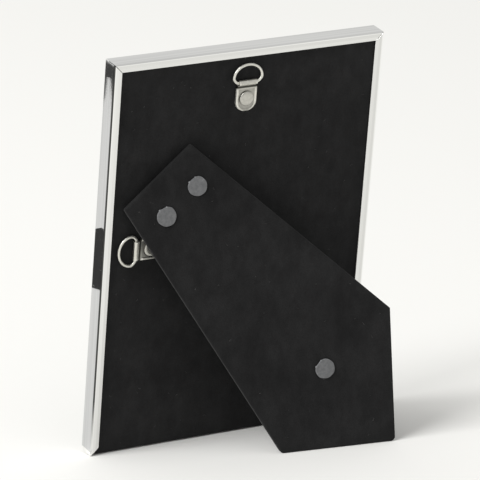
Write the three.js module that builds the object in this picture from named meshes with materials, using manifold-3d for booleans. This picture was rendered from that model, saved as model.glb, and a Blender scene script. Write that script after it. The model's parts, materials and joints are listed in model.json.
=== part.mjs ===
// A tabletop photo frame for a 5 x 7 inch print: four mitred metal rails, glass, print and card, and a
// velvet-covered back that slides in from below. The back carries a folding easel leg with its hinge and
// stay ribbon, and two ring hangers for the wall, one for each way up.
//
// Units are millimetres and +Z is up. The frame stands on a table at z = 0, leaning back on its leg, with
// its front towards -Y. The origin is on the table, under the middle of the whole object. "Left" and
// "right" are as seen from the front, so right is +X.

import * as THREE from 'three';
import { mergeVertices } from 'three/addons/utils/BufferGeometryUtils.js';
import Module from 'manifold-3d';

const wasm = await Module();
wasm.setup();

// ---- Print and rails ----
const PRINT_WIDTH = 127.0;
const PRINT_HEIGHT = 177.8;
const SIDE_ROOM = 0.9; // from the glass to a side rail's wall
const END_ROOM = 1.0; // from the glass to the top or bottom rail's wall
const WALL = 0.9; // sheet that the rails are folded from
const BEZEL = 6.4; // front flange, seen around the print
const LIP = 3.8; // back flange that the back slides under
const RAIL_CORNER = 0.64; // outside fold radius at the back
const RAIL_NOSE = 0.5; // outside fold radius at the front
const MITRE_GAP = 0.2;

// ---- The stack between the front flange and the back lip ----
const STACK_GAP = 0.2; // between loose layers
const GLUE_LINE = 0.1; // between glued layers
const GLASS_THICKNESS = 1.8;
const PRINT_THICKNESS = 0.3;
const CARD_THICKNESS = 1.6;
const BOARD_THICKNESS = 2.1;
const VELVET_THICKNESS = 0.4;
const BACK_SIDE_ROOM = 0.4; // from the back to a side rail's wall
const BACK_TOP_ROOM = 0.5; // from the back to the top rail's wall
const BACK_FOOT_ROOM = 0.3; // from the back's lower edge to the frame's underside

// ---- Corner braces ----
const BRACE_LENGTH = 14.0;
const BRACE_THICKNESS = 0.5;
const BRACE_ROOM = 0.2;

// ---- Stance and easel hinge ----
const LEAN = THREE.MathUtils.degToRad(8.53); // frame back from upright
const SPLAY = THREE.MathUtils.degToRad(14.54); // open leg from the back
const HINGE_TURN = THREE.MathUtils.degToRad(41.0); // hinge line from level, to serve both ways up
const HINGE_FROM_SIDE = 24.5; // middle of the hinge pin from the right side of the frame
const HINGE_FROM_TOP = 54.8; // and from its top
const HINGE_WIDTH = 30.0;
const KNUCKLES = 5;
const KNUCKLE_RADIUS = 1.1;
const KNUCKLE_GAP = 0.3;
const PIN_RADIUS = 0.55;
const PIN_ROOM = 0.15;
const PIN_OVERHANG = 0.4;
const LEAF_THICKNESS = 0.5;
const LEAF_REACH = 19.0; // from the pin to the far edge of a leaf
const HINGE_ROOM = 0.2; // from the knuckles to the velvet and to the leg
const PANEL_RIVET_SPACING = 10.0;
const PANEL_RIVET_DROP = 8.0; // below the pin

// ---- Leg ----
const LEG_TOP_WIDTH = 39.9;
const LEG_RISE = 2.6; // top edge above the pin
const HEEL_FLARE = THREE.MathUtils.degToRad(9.42); // right edge, out from square to the hinge
const ELBOW_FLARE = THREE.MathUtils.degToRad(7.7); // left edge
const FOOT_WIDTH = 53.0;
const FOOT_CORNER = THREE.MathUtils.degToRad(88.2); // between the foot and the second foot beside it
const FOOT_ROUND = 2.0;
const LEG_ROUND = 0.8;
const LEG_BOARD_THICKNESS = 2.0;
const LINING_THICKNESS = 0.3;
const LEG_RIVET_SPACING = 18.5;
const LEG_RIVET_ASIDE = -0.6; // middle of the pair from the middle of the hinge
const LEG_RIVET_DROP = 12.6; // below the pin
const DISC_RADIUS = 4.4; // flat rivet head on the leg
const DISC_THICKNESS = 0.5;
const DISC_EDGE = 0.4;
const SHANK_RADIUS = 1.4;
const SHANK_ROOM = 0.2;
const TAIL_RADIUS = 2.2;
const TAIL_THICKNESS = 0.4;
const RIVET_GAP = 0.1; // under a rivet's head or tail

// ---- Stay ribbon between the leg and the back ----
const RIBBON_WIDTH = 10.0;
const RIBBON_THICKNESS = 0.3;
const RIBBON_TAB = 7.0; // flat end under a rivet
const STAY_ASIDE = 2.9; // from the middle of the hinge
const STAY_DROP = 115.0; // rivet on the leg, below the pin
const ANCHOR_DROP = 91.0; // rivet on the back, below the pin
const RIBBON_BEND = 4.0; // from a rivet to where the ribbon turns
const ANCHOR_HEAD_RADIUS = 2.6;
const ANCHOR_HEAD_THICKNESS = 0.6;
const ANCHOR_HEAD_EDGE = 0.3;

// ---- Ring hangers ----
const HANGER_DROP = 15.2; // top ring's bar below the top of the frame
const HANGER_ASIDE = 1; // top hanger from the middle of the frame
const SIDE_HANGER_INSET = 15.5; // side ring's bar from the right side of the frame
const SIDE_HANGER_DROP = 31.5; // side hanger's middle below the hinge pin
const STRAP_WIDTH = 9.9;
const LOOP_WIDTH = 8.6; // strap where it goes round the bar
const STRAP_SHOULDER = 2.0; // from the bar to where the strap widens
const STRAP_THICKNESS = 0.5; // sheet; the strap is folded double
const STRAP_REACH = 13.1; // from the bar to the strap's round end
const STRAP_ROUND = 4.0;
const BAR_ROOM = 0.15; // between the ring's bar and the strap's loop
const STRAP_GAP = 0.1; // under the strap
const STRAP_RIVET_REACH = 7.3; // from the bar to the rivet
const STRAP_RIVET_RADIUS = 3.3;
const STRAP_RIVET_THICKNESS = 0.85;
const STRAP_RIVET_EDGE = 0.25;
const RING_WIDTH = 14.8;
const RING_REACH = 8.8; // from the middle of the bar to the outside of the round end
const RING_WIRE = 1.2;
const RING_BAR_ROOM = 0.2; // straight bar past each end of the strap's loop
const RING_RISE = 2.3; // from the bar to the ring's widest place
const RING_SHOULDER = 0.6; // how far its lower corners are cut back
const RING_SPLIT = 0.4; // joint in the wire, inside the strap's loop

// ---- Facets ----
const ARC_SIDES = 5;
const ROUND_SIDES = 20;
const WIRE_SIDES = 10;
const HEAD_STEPS = 3;
const RING_STEPS = 38;

// ---- Depths from the front face, and sizes that follow ----
const glassFront = WALL + STACK_GAP;
const printFront = glassFront + GLASS_THICKNESS + STACK_GAP;
const cardFront = printFront + PRINT_THICKNESS + STACK_GAP;
const cardBack = cardFront + CARD_THICKNESS;
const boardFront = cardBack + STACK_GAP;
const boardBack = boardFront + BOARD_THICKNESS;
const velvetBack = boardBack + GLUE_LINE + VELVET_THICKNESS;
const frameDepth = velvetBack + STACK_GAP + WALL;
const frameWidth = PRINT_WIDTH + 2 * (SIDE_ROOM + WALL);
const frameHeight = PRINT_HEIGHT + 2 * (END_ROOM + WALL);
const backWidth = frameWidth - 2 * (WALL + BACK_SIDE_ROOM);
const backTop = frameHeight - WALL - BACK_TOP_ROOM;
const coverInset = VELVET_THICKNESS + GLUE_LINE; // from a velvet cover's outside to the board in it
const pinHeight = KNUCKLE_RADIUS + HINGE_ROOM; // hinge pin above the velvet
const legInner = KNUCKLE_RADIUS + HINGE_ROOM; // leg's inner face from the pin
const liningTop = legInner + LINING_THICKNESS;
const legBoardInner = liningTop + GLUE_LINE;
const legBoardOuter = legBoardInner + LEG_BOARD_THICKNESS;
const legOuter = legBoardOuter + GLUE_LINE + VELVET_THICKNESS;
const barHeight = STRAP_GAP + STRAP_THICKNESS + BAR_ROOM + RING_WIRE / 2; // ring's bar above the velvet
const strapTop = STRAP_GAP + 2 * STRAP_THICKNESS;

// ---- Finishes ----
const finish = (color, roughness, metalness) => ({ color, roughness, metalness });
const POLISHED = finish(0xdadcd8, 0.12, 1.0);
const NICKEL = finish(0xbebeb4, 0.3, 1.0);
const STEEL = finish(0x9b9b9b, 0.4, 1.0);
const GREY_RIVET = finish(0x707174, 0.6, 0.4);
const VELVET = finish(0x242424, 1.0, 0.0);
const BOARD = finish(0x8a8378, 0.9, 0.0);
const LINING = finish(0x1c1c1c, 0.9, 0.0);
const RIBBON = finish(0x161616, 0.8, 0.0);
const GLASS = finish(0xdfeae6, 0.05, 0.0);
const PAPER = finish(0xf1efe9, 0.8, 0.0);

/** Adds a named mesh to a group, with a material of its own. */
function piece(group, name, geometry, look) {
  const mesh = new THREE.Mesh(geometry, new THREE.MeshStandardMaterial(look));
  mesh.name = name;
  group.add(mesh);
  return mesh;
}

/** Turns a closed geometry into a solid for joining and cutting. */
function toSolid(geometry) {
  const bare = geometry.clone();
  bare.deleteAttribute('normal');
  bare.deleteAttribute('uv');
  const merged = mergeVertices(bare);
  return new wasm.Manifold(
    new wasm.Mesh({
      numProp: 3,
      vertProperties: Float32Array.from(merged.attributes.position.array),
      triVerts: Uint32Array.from(merged.index.array),
    }),
  );
}

/** Turns a solid back into a geometry. */
function toGeometry(solid) {
  const mesh = solid.getMesh();
  const geometry = new THREE.BufferGeometry();
  geometry.setAttribute('position', new THREE.BufferAttribute(mesh.vertProperties, 3));
  geometry.setIndex(new THREE.BufferAttribute(mesh.triVerts, 1));
  geometry.computeVertexNormals();
  return geometry;
}

/** Plate whose outline is drawn as (x, z), with its thickness along +Y from y = 0. */
function plate(shape, thickness) {
  const geometry = new THREE.ExtrudeGeometry(shape, {
    depth: thickness,
    bevelEnabled: false,
    curveSegments: ARC_SIDES,
  });
  geometry.rotateX(Math.PI / 2);
  geometry.translate(0, thickness, 0);
  return geometry;
}

/** Bar whose side view is drawn as (distance down, y), with its width along X and centred. */
function sideBar(shape, width) {
  const geometry = new THREE.ExtrudeGeometry(shape, {
    depth: width,
    bevelEnabled: false,
    curveSegments: ROUND_SIDES / 2,
  });
  geometry.rotateY(Math.PI / 2);
  geometry.translate(-width / 2, 0, 0);
  return geometry;
}

/** Closed outline through the points, each corner rounded by its own radius. */
function roundedOutline(points, radii) {
  const shape = new THREE.Shape();
  points.forEach((corner, i) => {
    const before = points[(i + points.length - 1) % points.length].clone().sub(corner);
    const after = points[(i + 1) % points.length].clone().sub(corner);
    const start = corner.clone().addScaledVector(before.normalize(), radii[i]);
    const end = corner.clone().addScaledVector(after.normalize(), radii[i]);
    if (i === 0) {
      shape.moveTo(start.x, start.y);
    } else {
      shape.lineTo(start.x, start.y);
    }
    shape.quadraticCurveTo(corner.x, corner.y, end.x, end.y);
  });
  shape.closePath();
  return shape;
}

/** Corners of a convex, anticlockwise outline moved inwards by the same distance from every side. */
function insetCorners(points, distance) {
  return points.map((corner, i) => {
    const back = corner.clone().sub(points[(i + points.length - 1) % points.length]).normalize();
    const ahead = points[(i + 1) % points.length].clone().sub(corner).normalize();
    const sine = back.cross(ahead);
    return corner.clone().addScaledVector(ahead.sub(back), distance / sine);
  });
}

/** Corners of an upright rectangle, anticlockwise from its lower left. */
function rectangle(left, right, bottom, top) {
  return [
    new THREE.Vector2(left, bottom),
    new THREE.Vector2(right, bottom),
    new THREE.Vector2(right, top),
    new THREE.Vector2(left, top),
  ];
}

/** Punches round holes through an outline; each place has x and z. */
function punch(shape, places, radius) {
  for (const place of places) {
    const hole = new THREE.Path();
    hole.absarc(place.x, place.z, radius, 0, 2 * Math.PI, false);
    shape.holes.push(hole);
  }
  return shape;
}

/** Headed rivet along Y: y = 0 under its head, the head towards +Y, the shank and tail towards -Y. */
function rivet(sizes) {
  const { headRadius, headThickness, headEdge } = sizes;
  const { shankRadius, shankLength, tailRadius, tailThickness } = sizes;
  const profile = [
    new THREE.Vector2(0, -shankLength - tailThickness),
    new THREE.Vector2(tailRadius, -shankLength - tailThickness),
    new THREE.Vector2(tailRadius, -shankLength),
    new THREE.Vector2(shankRadius, -shankLength),
    new THREE.Vector2(shankRadius, 0),
    new THREE.Vector2(headRadius, 0),
  ];
  for (let i = 0; i < HEAD_STEPS; i += 1) {
    const angle = (i / HEAD_STEPS) * (Math.PI / 2);
    const y = headEdge + (headThickness - headEdge) * Math.sin(angle);
    profile.push(new THREE.Vector2(headRadius * Math.cos(angle), y));
  }
  profile.push(new THREE.Vector2(0, headThickness));
  return new THREE.LatheGeometry(profile, ROUND_SIDES);
}

// ---- Rails and what they hold ----

/** Rail section as (in from the outer face, back from the front face). */
function railSection(backLip) {
  const shape = new THREE.Shape();
  shape.moveTo(BEZEL, 0);
  shape.lineTo(BEZEL, WALL);
  shape.lineTo(WALL, WALL);
  if (backLip) {
    shape.lineTo(WALL, frameDepth - WALL);
    shape.lineTo(LIP, frameDepth - WALL);
    shape.lineTo(LIP, frameDepth);
    shape.absarc(RAIL_CORNER, frameDepth - RAIL_CORNER, RAIL_CORNER, Math.PI / 2, Math.PI, false);
  } else {
    shape.lineTo(WALL, cardBack);
    shape.lineTo(0, cardBack);
  }
  shape.absarc(RAIL_NOSE, RAIL_NOSE, RAIL_NOSE, Math.PI, 1.5 * Math.PI, false);
  shape.closePath();
  return shape;
}

/** Straight rail along +Z with both ends cut at 45 degrees, its outer face at x = 0. */
function rail(length, backLip, gap) {
  const geometry = new THREE.ExtrudeGeometry(railSection(backLip), {
    depth: length,
    bevelEnabled: false,
    curveSegments: ARC_SIDES,
  });
  const { position } = geometry.attributes;
  for (let i = 0; i < position.count; i += 1) {
    const inward = position.getX(i) + gap;
    position.setZ(i, position.getZ(i) < length / 2 ? inward : length - inward);
  }
  geometry.computeVertexNormals();
  return geometry;
}

/** Flat angle that lies against the walls of two rails, drawn in the corner at x = 0, z = 0. */
function cornerBrace() {
  const near = WALL + BRACE_ROOM;
  const far = near + BRACE_THICKNESS;
  const end = near + BRACE_LENGTH;
  const shape = new THREE.Shape();
  shape.moveTo(near, near);
  shape.lineTo(end, near);
  shape.lineTo(end, far);
  shape.lineTo(far, far);
  shape.lineTo(far, end);
  shape.lineTo(near, end);
  shape.closePath();
  return plate(shape, cardBack - glassFront - BRACE_ROOM);
}

/** The four rails and the four braces, a quarter turn apart. */
function addFrame(lean) {
  const half = frameWidth / 2;
  const width = frameWidth;
  const height = frameHeight;
  const corners = [
    { side: 'left', corner: 'bottom_left', x: -half, z: 0, length: height, lip: true, gap: 0 },
    { side: 'top', corner: 'top_left', x: -half, z: height, length: width, lip: true, gap: MITRE_GAP },
    { side: 'right', corner: 'top_right', x: half, z: height, length: height, lip: true, gap: 0 },
    { side: 'bottom', corner: 'bottom_right', x: half, z: 0, length: width, lip: false, gap: MITRE_GAP },
  ];
  corners.forEach(({ side, corner, x, z, length, lip, gap }, quarter) => {
    const turned = new THREE.Group();
    turned.position.set(x, -frameDepth, z);
    turned.rotation.y = (quarter * Math.PI) / 2;
    lean.add(turned);
    piece(turned, `rail_${side}`, rail(length, lip, gap), POLISHED);
    piece(turned, `brace_${corner}`, cornerBrace(), STEEL).position.y = glassFront;
  });
}

/** Glass, print and filler card, all of the print's size. */
function addGlazing(lean) {
  const bottom = WALL + END_ROOM;
  const corners = rectangle(-PRINT_WIDTH / 2, PRINT_WIDTH / 2, bottom, bottom + PRINT_HEIGHT);
  const outline = () => roundedOutline(corners, [0, 0, 0, 0]);
  const layers = [
    ['glass', glassFront, GLASS_THICKNESS, GLASS],
    ['print', printFront, PRINT_THICKNESS, PAPER],
    ['filler_card', cardFront, CARD_THICKNESS, BOARD],
  ];
  for (const [name, front, thickness, look] of layers) {
    piece(lean, name, plate(outline(), thickness), look).position.y = front - frameDepth;
  }
}

// ---- Velvet covers over their boards ----

/** Velvet cover: a skin with its edges turned over the board that fills it. Its skin is towards +Y. */
function cover(corners, radii, depth, holes, holeRadius) {
  const outside = plate(punch(roundedOutline(corners, radii), holes, holeRadius), depth);
  const inside = plate(roundedOutline(insetCorners(corners, VELVET_THICKNESS), radii), depth);
  inside.translate(0, -VELVET_THICKNESS, 0);
  return toGeometry(toSolid(outside).subtract(toSolid(inside)));
}

/** Flat filling of a velvet cover. */
function filling(corners, radii, thickness, holes, holeRadius) {
  const outline = roundedOutline(insetCorners(corners, coverInset), radii);
  return plate(punch(outline, holes, holeRadius), thickness);
}

/** The sliding back: its board and its velvet. */
function addBack(lean, holes) {
  const corners = rectangle(-backWidth / 2, backWidth / 2, BACK_FOOT_ROOM, backTop);
  const radii = corners.map(() => LEG_ROUND);
  const holeRadius = SHANK_RADIUS + SHANK_ROOM;
  const board = filling(corners, radii, BOARD_THICKNESS, holes, holeRadius);
  const velvet = cover(corners, radii, velvetBack - boardFront, holes, holeRadius);
  piece(lean, 'back_board', board, BOARD).position.y = boardFront - frameDepth;
  piece(lean, 'back_velvet', velvet, VELVET).position.y = boardFront - frameDepth;
}

// ---- Ring hangers ----

/** Side view of a folded strap: a loop round the bar and a flat tongue, as (down from the bar, y). */
function strapSection() {
  const bore = RING_WIRE / 2 + BAR_ROOM;
  const outer = bore + STRAP_THICKNESS;
  const tongueTop = strapTop - STRAP_GAP - outer;
  const shape = new THREE.Shape();
  shape.moveTo(STRAP_REACH, -outer);
  shape.lineTo(0, -outer);
  shape.absarc(0, 0, outer, -Math.PI / 2, Math.asin(tongueTop / outer), true);
  shape.lineTo(STRAP_REACH, tongueTop);
  shape.closePath();
  const loop = new THREE.Path();
  loop.absarc(0, 0, bore, 0, 2 * Math.PI, false);
  shape.holes.push(loop);
  return shape;
}

/** Strap with its tongue rounded in plan and punched for the rivet. Its bar is at the origin. */
function strap() {
  const loopTop = RING_WIRE / 2 + BAR_ROOM + STRAP_THICKNESS;
  const rightSide = [
    new THREE.Vector2(STRAP_WIDTH / 2, -STRAP_REACH),
    new THREE.Vector2(STRAP_WIDTH / 2, -STRAP_SHOULDER),
    new THREE.Vector2(LOOP_WIDTH / 2, -STRAP_SHOULDER),
    new THREE.Vector2(LOOP_WIDTH / 2, 2 * loopTop),
  ];
  const leftSide = rightSide.map((point) => new THREE.Vector2(-point.x, point.y)).reverse();
  const outline = roundedOutline([...rightSide, ...leftSide], [STRAP_ROUND, 0, 0, 0, 0, 0, 0, STRAP_ROUND]);
  const rivetHole = { x: 0, z: -STRAP_RIVET_REACH };
  const plan = plate(punch(outline, [rivetHole], SHANK_RADIUS + SHANK_ROOM), 4 * loopTop);
  plan.translate(0, -2 * loopTop, 0);
  return toGeometry(toSolid(sideBar(strapSection(), STRAP_WIDTH)).intersect(toSolid(plan)));
}

/** D ring: a bar through the strap's loop at z = 0 and a round end above it. */
function ring() {
  const wire = RING_WIRE / 2;
  const side = RING_WIDTH / 2 - wire;
  const bar = LOOP_WIDTH / 2 + RING_BAR_ROOM;
  const corner = side - RING_SHOULDER;
  const outline = new THREE.Path();
  outline.moveTo(RING_SPLIT / 2, 0);
  outline.lineTo(bar, 0);
  outline.quadraticCurveTo(corner, RING_SHOULDER, side, RING_RISE);
  outline.absellipse(0, RING_RISE, side, RING_REACH - wire - RING_RISE, 0, Math.PI, false, 0);
  outline.quadraticCurveTo(-corner, RING_SHOULDER, -bar, 0);
  outline.lineTo(-RING_SPLIT / 2, 0);
  const route = outline.getSpacedPoints(RING_STEPS).map((point) => new THREE.Vector3(point.x, 0, point.y));
  const section = new THREE.Shape();
  section.absarc(0, 0, wire, 0, 2 * Math.PI, false);
  return new THREE.ExtrudeGeometry(section, {
    steps: RING_STEPS,
    extrudePath: new THREE.CatmullRomCurve3(route),
    curveSegments: WIRE_SIDES / 2,
  });
}

/** One hanger: strap, rivet and ring, the ring towards the group's +Z. */
function addHanger(lean, name, bar, turn) {
  const hanger = new THREE.Group();
  hanger.position.set(bar.x, velvetBack - frameDepth + barHeight, bar.z);
  hanger.rotation.y = turn;
  lean.add(hanger);
  const head = strapTop + RIVET_GAP - barHeight;
  const fastener = rivet({
    headRadius: STRAP_RIVET_RADIUS,
    headThickness: STRAP_RIVET_THICKNESS,
    headEdge: STRAP_RIVET_EDGE,
    shankRadius: SHANK_RADIUS,
    shankLength: strapTop + RIVET_GAP + VELVET_THICKNESS + GLUE_LINE + BOARD_THICKNESS / 2,
    tailRadius: SHANK_RADIUS,
    tailThickness: BOARD_THICKNESS / 4,
  });
  piece(hanger, `${name}_hanger_strap`, strap(), NICKEL);
  piece(hanger, `${name}_hanger_rivet`, fastener, NICKEL).position.set(0, head, -STRAP_RIVET_REACH);
  piece(hanger, `${name}_ring`, ring(), NICKEL);
  hanger.updateMatrix();
  return new THREE.Vector3(0, 0, -STRAP_RIVET_REACH).applyMatrix4(hanger.matrix);
}

// ---- Easel hinge ----

/** Side view of a knuckle and the root of its leaf; side is -1 for the back's leaf, +1 for the leg's. */
function knuckleSection(side) {
  const leafFace = KNUCKLE_RADIUS - LEAF_THICKNESS;
  const meet = Math.asin(leafFace / KNUCKLE_RADIUS);
  const root = KNUCKLE_RADIUS + 2 * HINGE_ROOM + LEAF_THICKNESS;
  const shape = new THREE.Shape();
  shape.moveTo(root, side * KNUCKLE_RADIUS);
  shape.lineTo(0, side * KNUCKLE_RADIUS);
  shape.absarc(0, 0, KNUCKLE_RADIUS, (side * Math.PI) / 2, side * meet, side < 0);
  shape.lineTo(root, side * leafFace);
  shape.closePath();
  const bore = new THREE.Path();
  bore.absarc(0, 0, PIN_RADIUS + PIN_ROOM, 0, 2 * Math.PI, false);
  shape.holes.push(bore);
  return shape;
}

/** One leaf of the hinge with every second knuckle, starting from the given one. */
function hingeLeaf(side, first, holes) {
  const top = -(KNUCKLE_RADIUS + 2 * HINGE_ROOM);
  const corners = rectangle(-HINGE_WIDTH / 2, HINGE_WIDTH / 2, -LEAF_REACH, top);
  const outline = punch(roundedOutline(corners, [2, 2, 0, 0]), holes, SHANK_RADIUS + SHANK_ROOM);
  const flat = plate(outline, LEAF_THICKNESS);
  flat.translate(0, side < 0 ? -KNUCKLE_RADIUS : KNUCKLE_RADIUS - LEAF_THICKNESS, 0);
  let leaf = toSolid(flat);
  const pitch = HINGE_WIDTH / KNUCKLES;
  for (let i = first; i < KNUCKLES; i += 2) {
    const knuckle = sideBar(knuckleSection(side), pitch - KNUCKLE_GAP);
    knuckle.translate((i + 0.5) * pitch - HINGE_WIDTH / 2, 0, 0);
    leaf = leaf.add(toSolid(knuckle));
  }
  return toGeometry(leaf);
}

/** Places of a pair of rivets, level with each other. */
function rivetPair(middle, spacing, drop) {
  return [-1, 1].map((sign) => ({ x: middle + (sign * spacing) / 2, z: -drop }));
}

/** Leaf, pin and rivets that belong to the back. */
function addHinge(hinge, places) {
  const pinLength = HINGE_WIDTH + 2 * PIN_OVERHANG;
  const pin = new THREE.CylinderGeometry(PIN_RADIUS, PIN_RADIUS, pinLength, ROUND_SIDES);
  pin.rotateZ(Math.PI / 2);
  piece(hinge, 'hinge_panel_leaf', hingeLeaf(-1, 0, places), STEEL);
  piece(hinge, 'hinge_pin', pin, STEEL);
  const head = LEAF_THICKNESS - KNUCKLE_RADIUS + RIVET_GAP;
  places.forEach(({ x, z }, i) => {
    const fastener = rivet({
      headRadius: TAIL_RADIUS,
      headThickness: TAIL_THICKNESS,
      headEdge: TAIL_THICKNESS / 2,
      shankRadius: SHANK_RADIUS,
      shankLength: pinHeight + head + VELVET_THICKNESS + GLUE_LINE + BOARD_THICKNESS / 2,
      tailRadius: SHANK_RADIUS,
      tailThickness: BOARD_THICKNESS / 4,
    });
    piece(hinge, `hinge_panel_rivet_${i + 1}`, fastener, STEEL).position.set(x, head, z);
  });
}

// ---- Leg ----

/** Corners of the leg as (x, z) from the pin, its foot worked out to lie along the table. */
function legCorners(leg) {
  const heightAt = (x, z) => new THREE.Vector3(x, legInner, z).applyMatrix4(leg.matrixWorld).z;
  const level = heightAt(0, 0);
  const risePerX = heightAt(1, 0) - level;
  const risePerZ = heightAt(0, 1) - level;
  const half = LEG_TOP_WIDTH / 2;
  const heelSlope = Math.tan(HEEL_FLARE);
  const elbowSlope = Math.tan(ELBOW_FLARE);

  const drop = (level + risePerX * half + risePerZ * LEG_RISE) / (risePerZ - risePerX * heelSlope);
  const heel = new THREE.Vector2(half + drop * heelSlope, LEG_RISE - drop);
  const along = new THREE.Vector2(-risePerZ, risePerX).normalize();
  const toe = heel.clone().addScaledVector(along, FOOT_WIDTH);
  const up = along.clone().negate().rotateAround(new THREE.Vector2(), FOOT_CORNER);
  const reach = (-half - (LEG_RISE - toe.y) * elbowSlope - toe.x) / (up.x - up.y * elbowSlope);
  const elbow = toe.clone().addScaledVector(up, reach);
  return [new THREE.Vector2(half, LEG_RISE), new THREE.Vector2(-half, LEG_RISE), elbow, toe, heel];
}

/** Velvet, board, lining, hinge leaf and rivets of the leg. */
function addLeg(leg) {
  const corners = legCorners(leg);
  const radii = [LEG_ROUND, LEG_ROUND, LEG_ROUND, FOOT_ROUND, FOOT_ROUND];
  const hingeHoles = rivetPair(LEG_RIVET_ASIDE, LEG_RIVET_SPACING, LEG_RIVET_DROP);
  const stayHole = { x: STAY_ASIDE, z: -STAY_DROP };
  const holes = [...hingeHoles, stayHole];
  const holeRadius = SHANK_RADIUS + SHANK_ROOM;
  const velvet = cover(corners, radii, legOuter - legInner, holes, holeRadius);
  const board = filling(corners, radii, LEG_BOARD_THICKNESS, holes, holeRadius);
  const lining = filling(corners, radii, LINING_THICKNESS, holes, holeRadius);
  piece(leg, 'leg_velvet', velvet, VELVET).position.y = legInner;
  piece(leg, 'leg_board', board, BOARD).position.y = legBoardInner;
  piece(leg, 'leg_lining', lining, LINING).position.y = legInner;
  piece(leg, 'hinge_leg_leaf', hingeLeaf(1, 1, hingeHoles), STEEL);

  const disc = {
    headRadius: DISC_RADIUS,
    headThickness: DISC_THICKNESS,
    headEdge: DISC_EDGE,
    shankRadius: SHANK_RADIUS,
    tailRadius: TAIL_RADIUS,
    tailThickness: TAIL_THICKNESS,
  };
  const under = legOuter + RIVET_GAP;
  const leafSide = under - (KNUCKLE_RADIUS - LEAF_THICKNESS) + RIVET_GAP;
  const ribbonSide = under - (legInner - GLUE_LINE - RIBBON_THICKNESS) + RIVET_GAP;
  hingeHoles.forEach(({ x, z }, i) => {
    const fastener = rivet({ ...disc, shankLength: leafSide });
    piece(leg, `leg_rivet_${i + 1}`, fastener, GREY_RIVET).position.set(x, under, z);
  });
  const stay = rivet({ ...disc, shankLength: ribbonSide });
  piece(leg, 'stay_rivet', stay, GREY_RIVET).position.set(stayHole.x, under, stayHole.z);
}

// ---- Stay ribbon ----

/** Band of even thickness along an open route of points. */
function band(route, thickness) {
  const offset = (sign) =>
    route.map((point, i) => {
      const back = point.clone().sub(route[Math.max(i - 1, 0)]).normalize();
      const ahead = route[Math.min(i + 1, route.length - 1)].clone().sub(point).normalize();
      const along = back.add(ahead).normalize();
      const stretch = i === 0 || i === route.length - 1 ? 1 : along.dot(ahead);
      const across = new THREE.Vector2(-along.y, along.x);
      return point.clone().addScaledVector(across, (sign * thickness) / 2 / stretch);
    });
  return new THREE.Shape([...offset(1), ...offset(-1).reverse()]);
}

/** Ribbon drawn taut from its rivet on the back to its rivet on the open leg. */
function addStay(hinge, leg) {
  const onBack = GLUE_LINE + RIBBON_THICKNESS / 2 - pinHeight;
  const onLeg = legInner - GLUE_LINE - RIBBON_THICKNESS / 2;
  leg.updateMatrix();
  const legPoint = (drop) => {
    const point = new THREE.Vector3(0, onLeg, -drop).applyMatrix4(leg.matrix);
    return new THREE.Vector2(-point.z, point.y);
  };
  const route = [
    new THREE.Vector2(ANCHOR_DROP - RIBBON_TAB / 2, onBack),
    new THREE.Vector2(ANCHOR_DROP + RIBBON_BEND, onBack),
    legPoint(STAY_DROP - RIBBON_BEND),
    legPoint(STAY_DROP + RIBBON_TAB / 2),
  ];
  const strip = toSolid(sideBar(band(route, RIBBON_THICKNESS), RIBBON_WIDTH));
  const reach = legOuter - onBack;
  const holeRadius = SHANK_RADIUS + SHANK_ROOM;
  const drill = new THREE.CylinderGeometry(holeRadius, holeRadius, reach, ROUND_SIDES);
  const backDrill = drill.clone().translate(0, onBack, -ANCHOR_DROP);
  const legDrill = drill.clone().translate(0, onLeg, -STAY_DROP).applyMatrix4(leg.matrix);
  const cut = strip.subtract(toSolid(backDrill)).subtract(toSolid(legDrill));
  piece(hinge, 'stay_ribbon', toGeometry(cut), RIBBON).position.x = STAY_ASIDE;

  const head = onBack + RIBBON_THICKNESS / 2 + RIVET_GAP;
  const anchor = rivet({
    headRadius: ANCHOR_HEAD_RADIUS,
    headThickness: ANCHOR_HEAD_THICKNESS,
    headEdge: ANCHOR_HEAD_EDGE,
    shankRadius: SHANK_RADIUS,
    shankLength: pinHeight + head + VELVET_THICKNESS + GLUE_LINE + BOARD_THICKNESS / 2,
    tailRadius: SHANK_RADIUS,
    tailThickness: BOARD_THICKNESS / 4,
  });
  piece(hinge, 'stay_anchor_rivet', anchor, STEEL).position.set(STAY_ASIDE, head, -ANCHOR_DROP);
}

// ---- Assembly ----

/** Builds the whole frame, standing on the table. */
function photoFrame() {
  const root = new THREE.Group();
  const lean = new THREE.Group();
  lean.rotation.x = -LEAN;
  lean.position.z = -RAIL_CORNER * Math.sin(LEAN);
  root.add(lean);

  const hinge = new THREE.Group();
  hinge.position.set(
    frameWidth / 2 - HINGE_FROM_SIDE,
    velvetBack - frameDepth + pinHeight,
    frameHeight - HINGE_FROM_TOP,
  );
  hinge.rotation.y = HINGE_TURN;
  lean.add(hinge);
  const leg = new THREE.Group();
  leg.rotation.x = SPLAY;
  hinge.add(leg);
  root.updateMatrixWorld(true);

  addFrame(lean);
  addGlazing(lean);
  const panelRivets = rivetPair(0, PANEL_RIVET_SPACING, PANEL_RIVET_DROP);
  const anchor = { x: STAY_ASIDE, z: -ANCHOR_DROP };
  const onHinge = [...panelRivets, anchor].map(({ x, z }) => {
    return new THREE.Vector3(x, 0, z).applyMatrix4(hinge.matrix);
  });
  const highBar = { x: HANGER_ASIDE, z: frameHeight - HANGER_DROP };
  const lowBar = { x: frameWidth / 2 - SIDE_HANGER_INSET, z: hinge.position.z - SIDE_HANGER_DROP };
  const onHangers = [
    addHanger(lean, 'top', highBar, 0),
    addHanger(lean, 'side', lowBar, Math.PI / 2),
  ];
  addBack(lean, [...onHinge, ...onHangers]);
  addHinge(hinge, panelRivets);
  addLeg(leg);
  addStay(hinge, leg);

  const box = new THREE.Box3().setFromObject(root, true);
  root.position.y = -(box.min.y + box.max.y) / 2;
  root.updateMatrixWorld(true);
  return root;
}

export default photoFrame();
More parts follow.
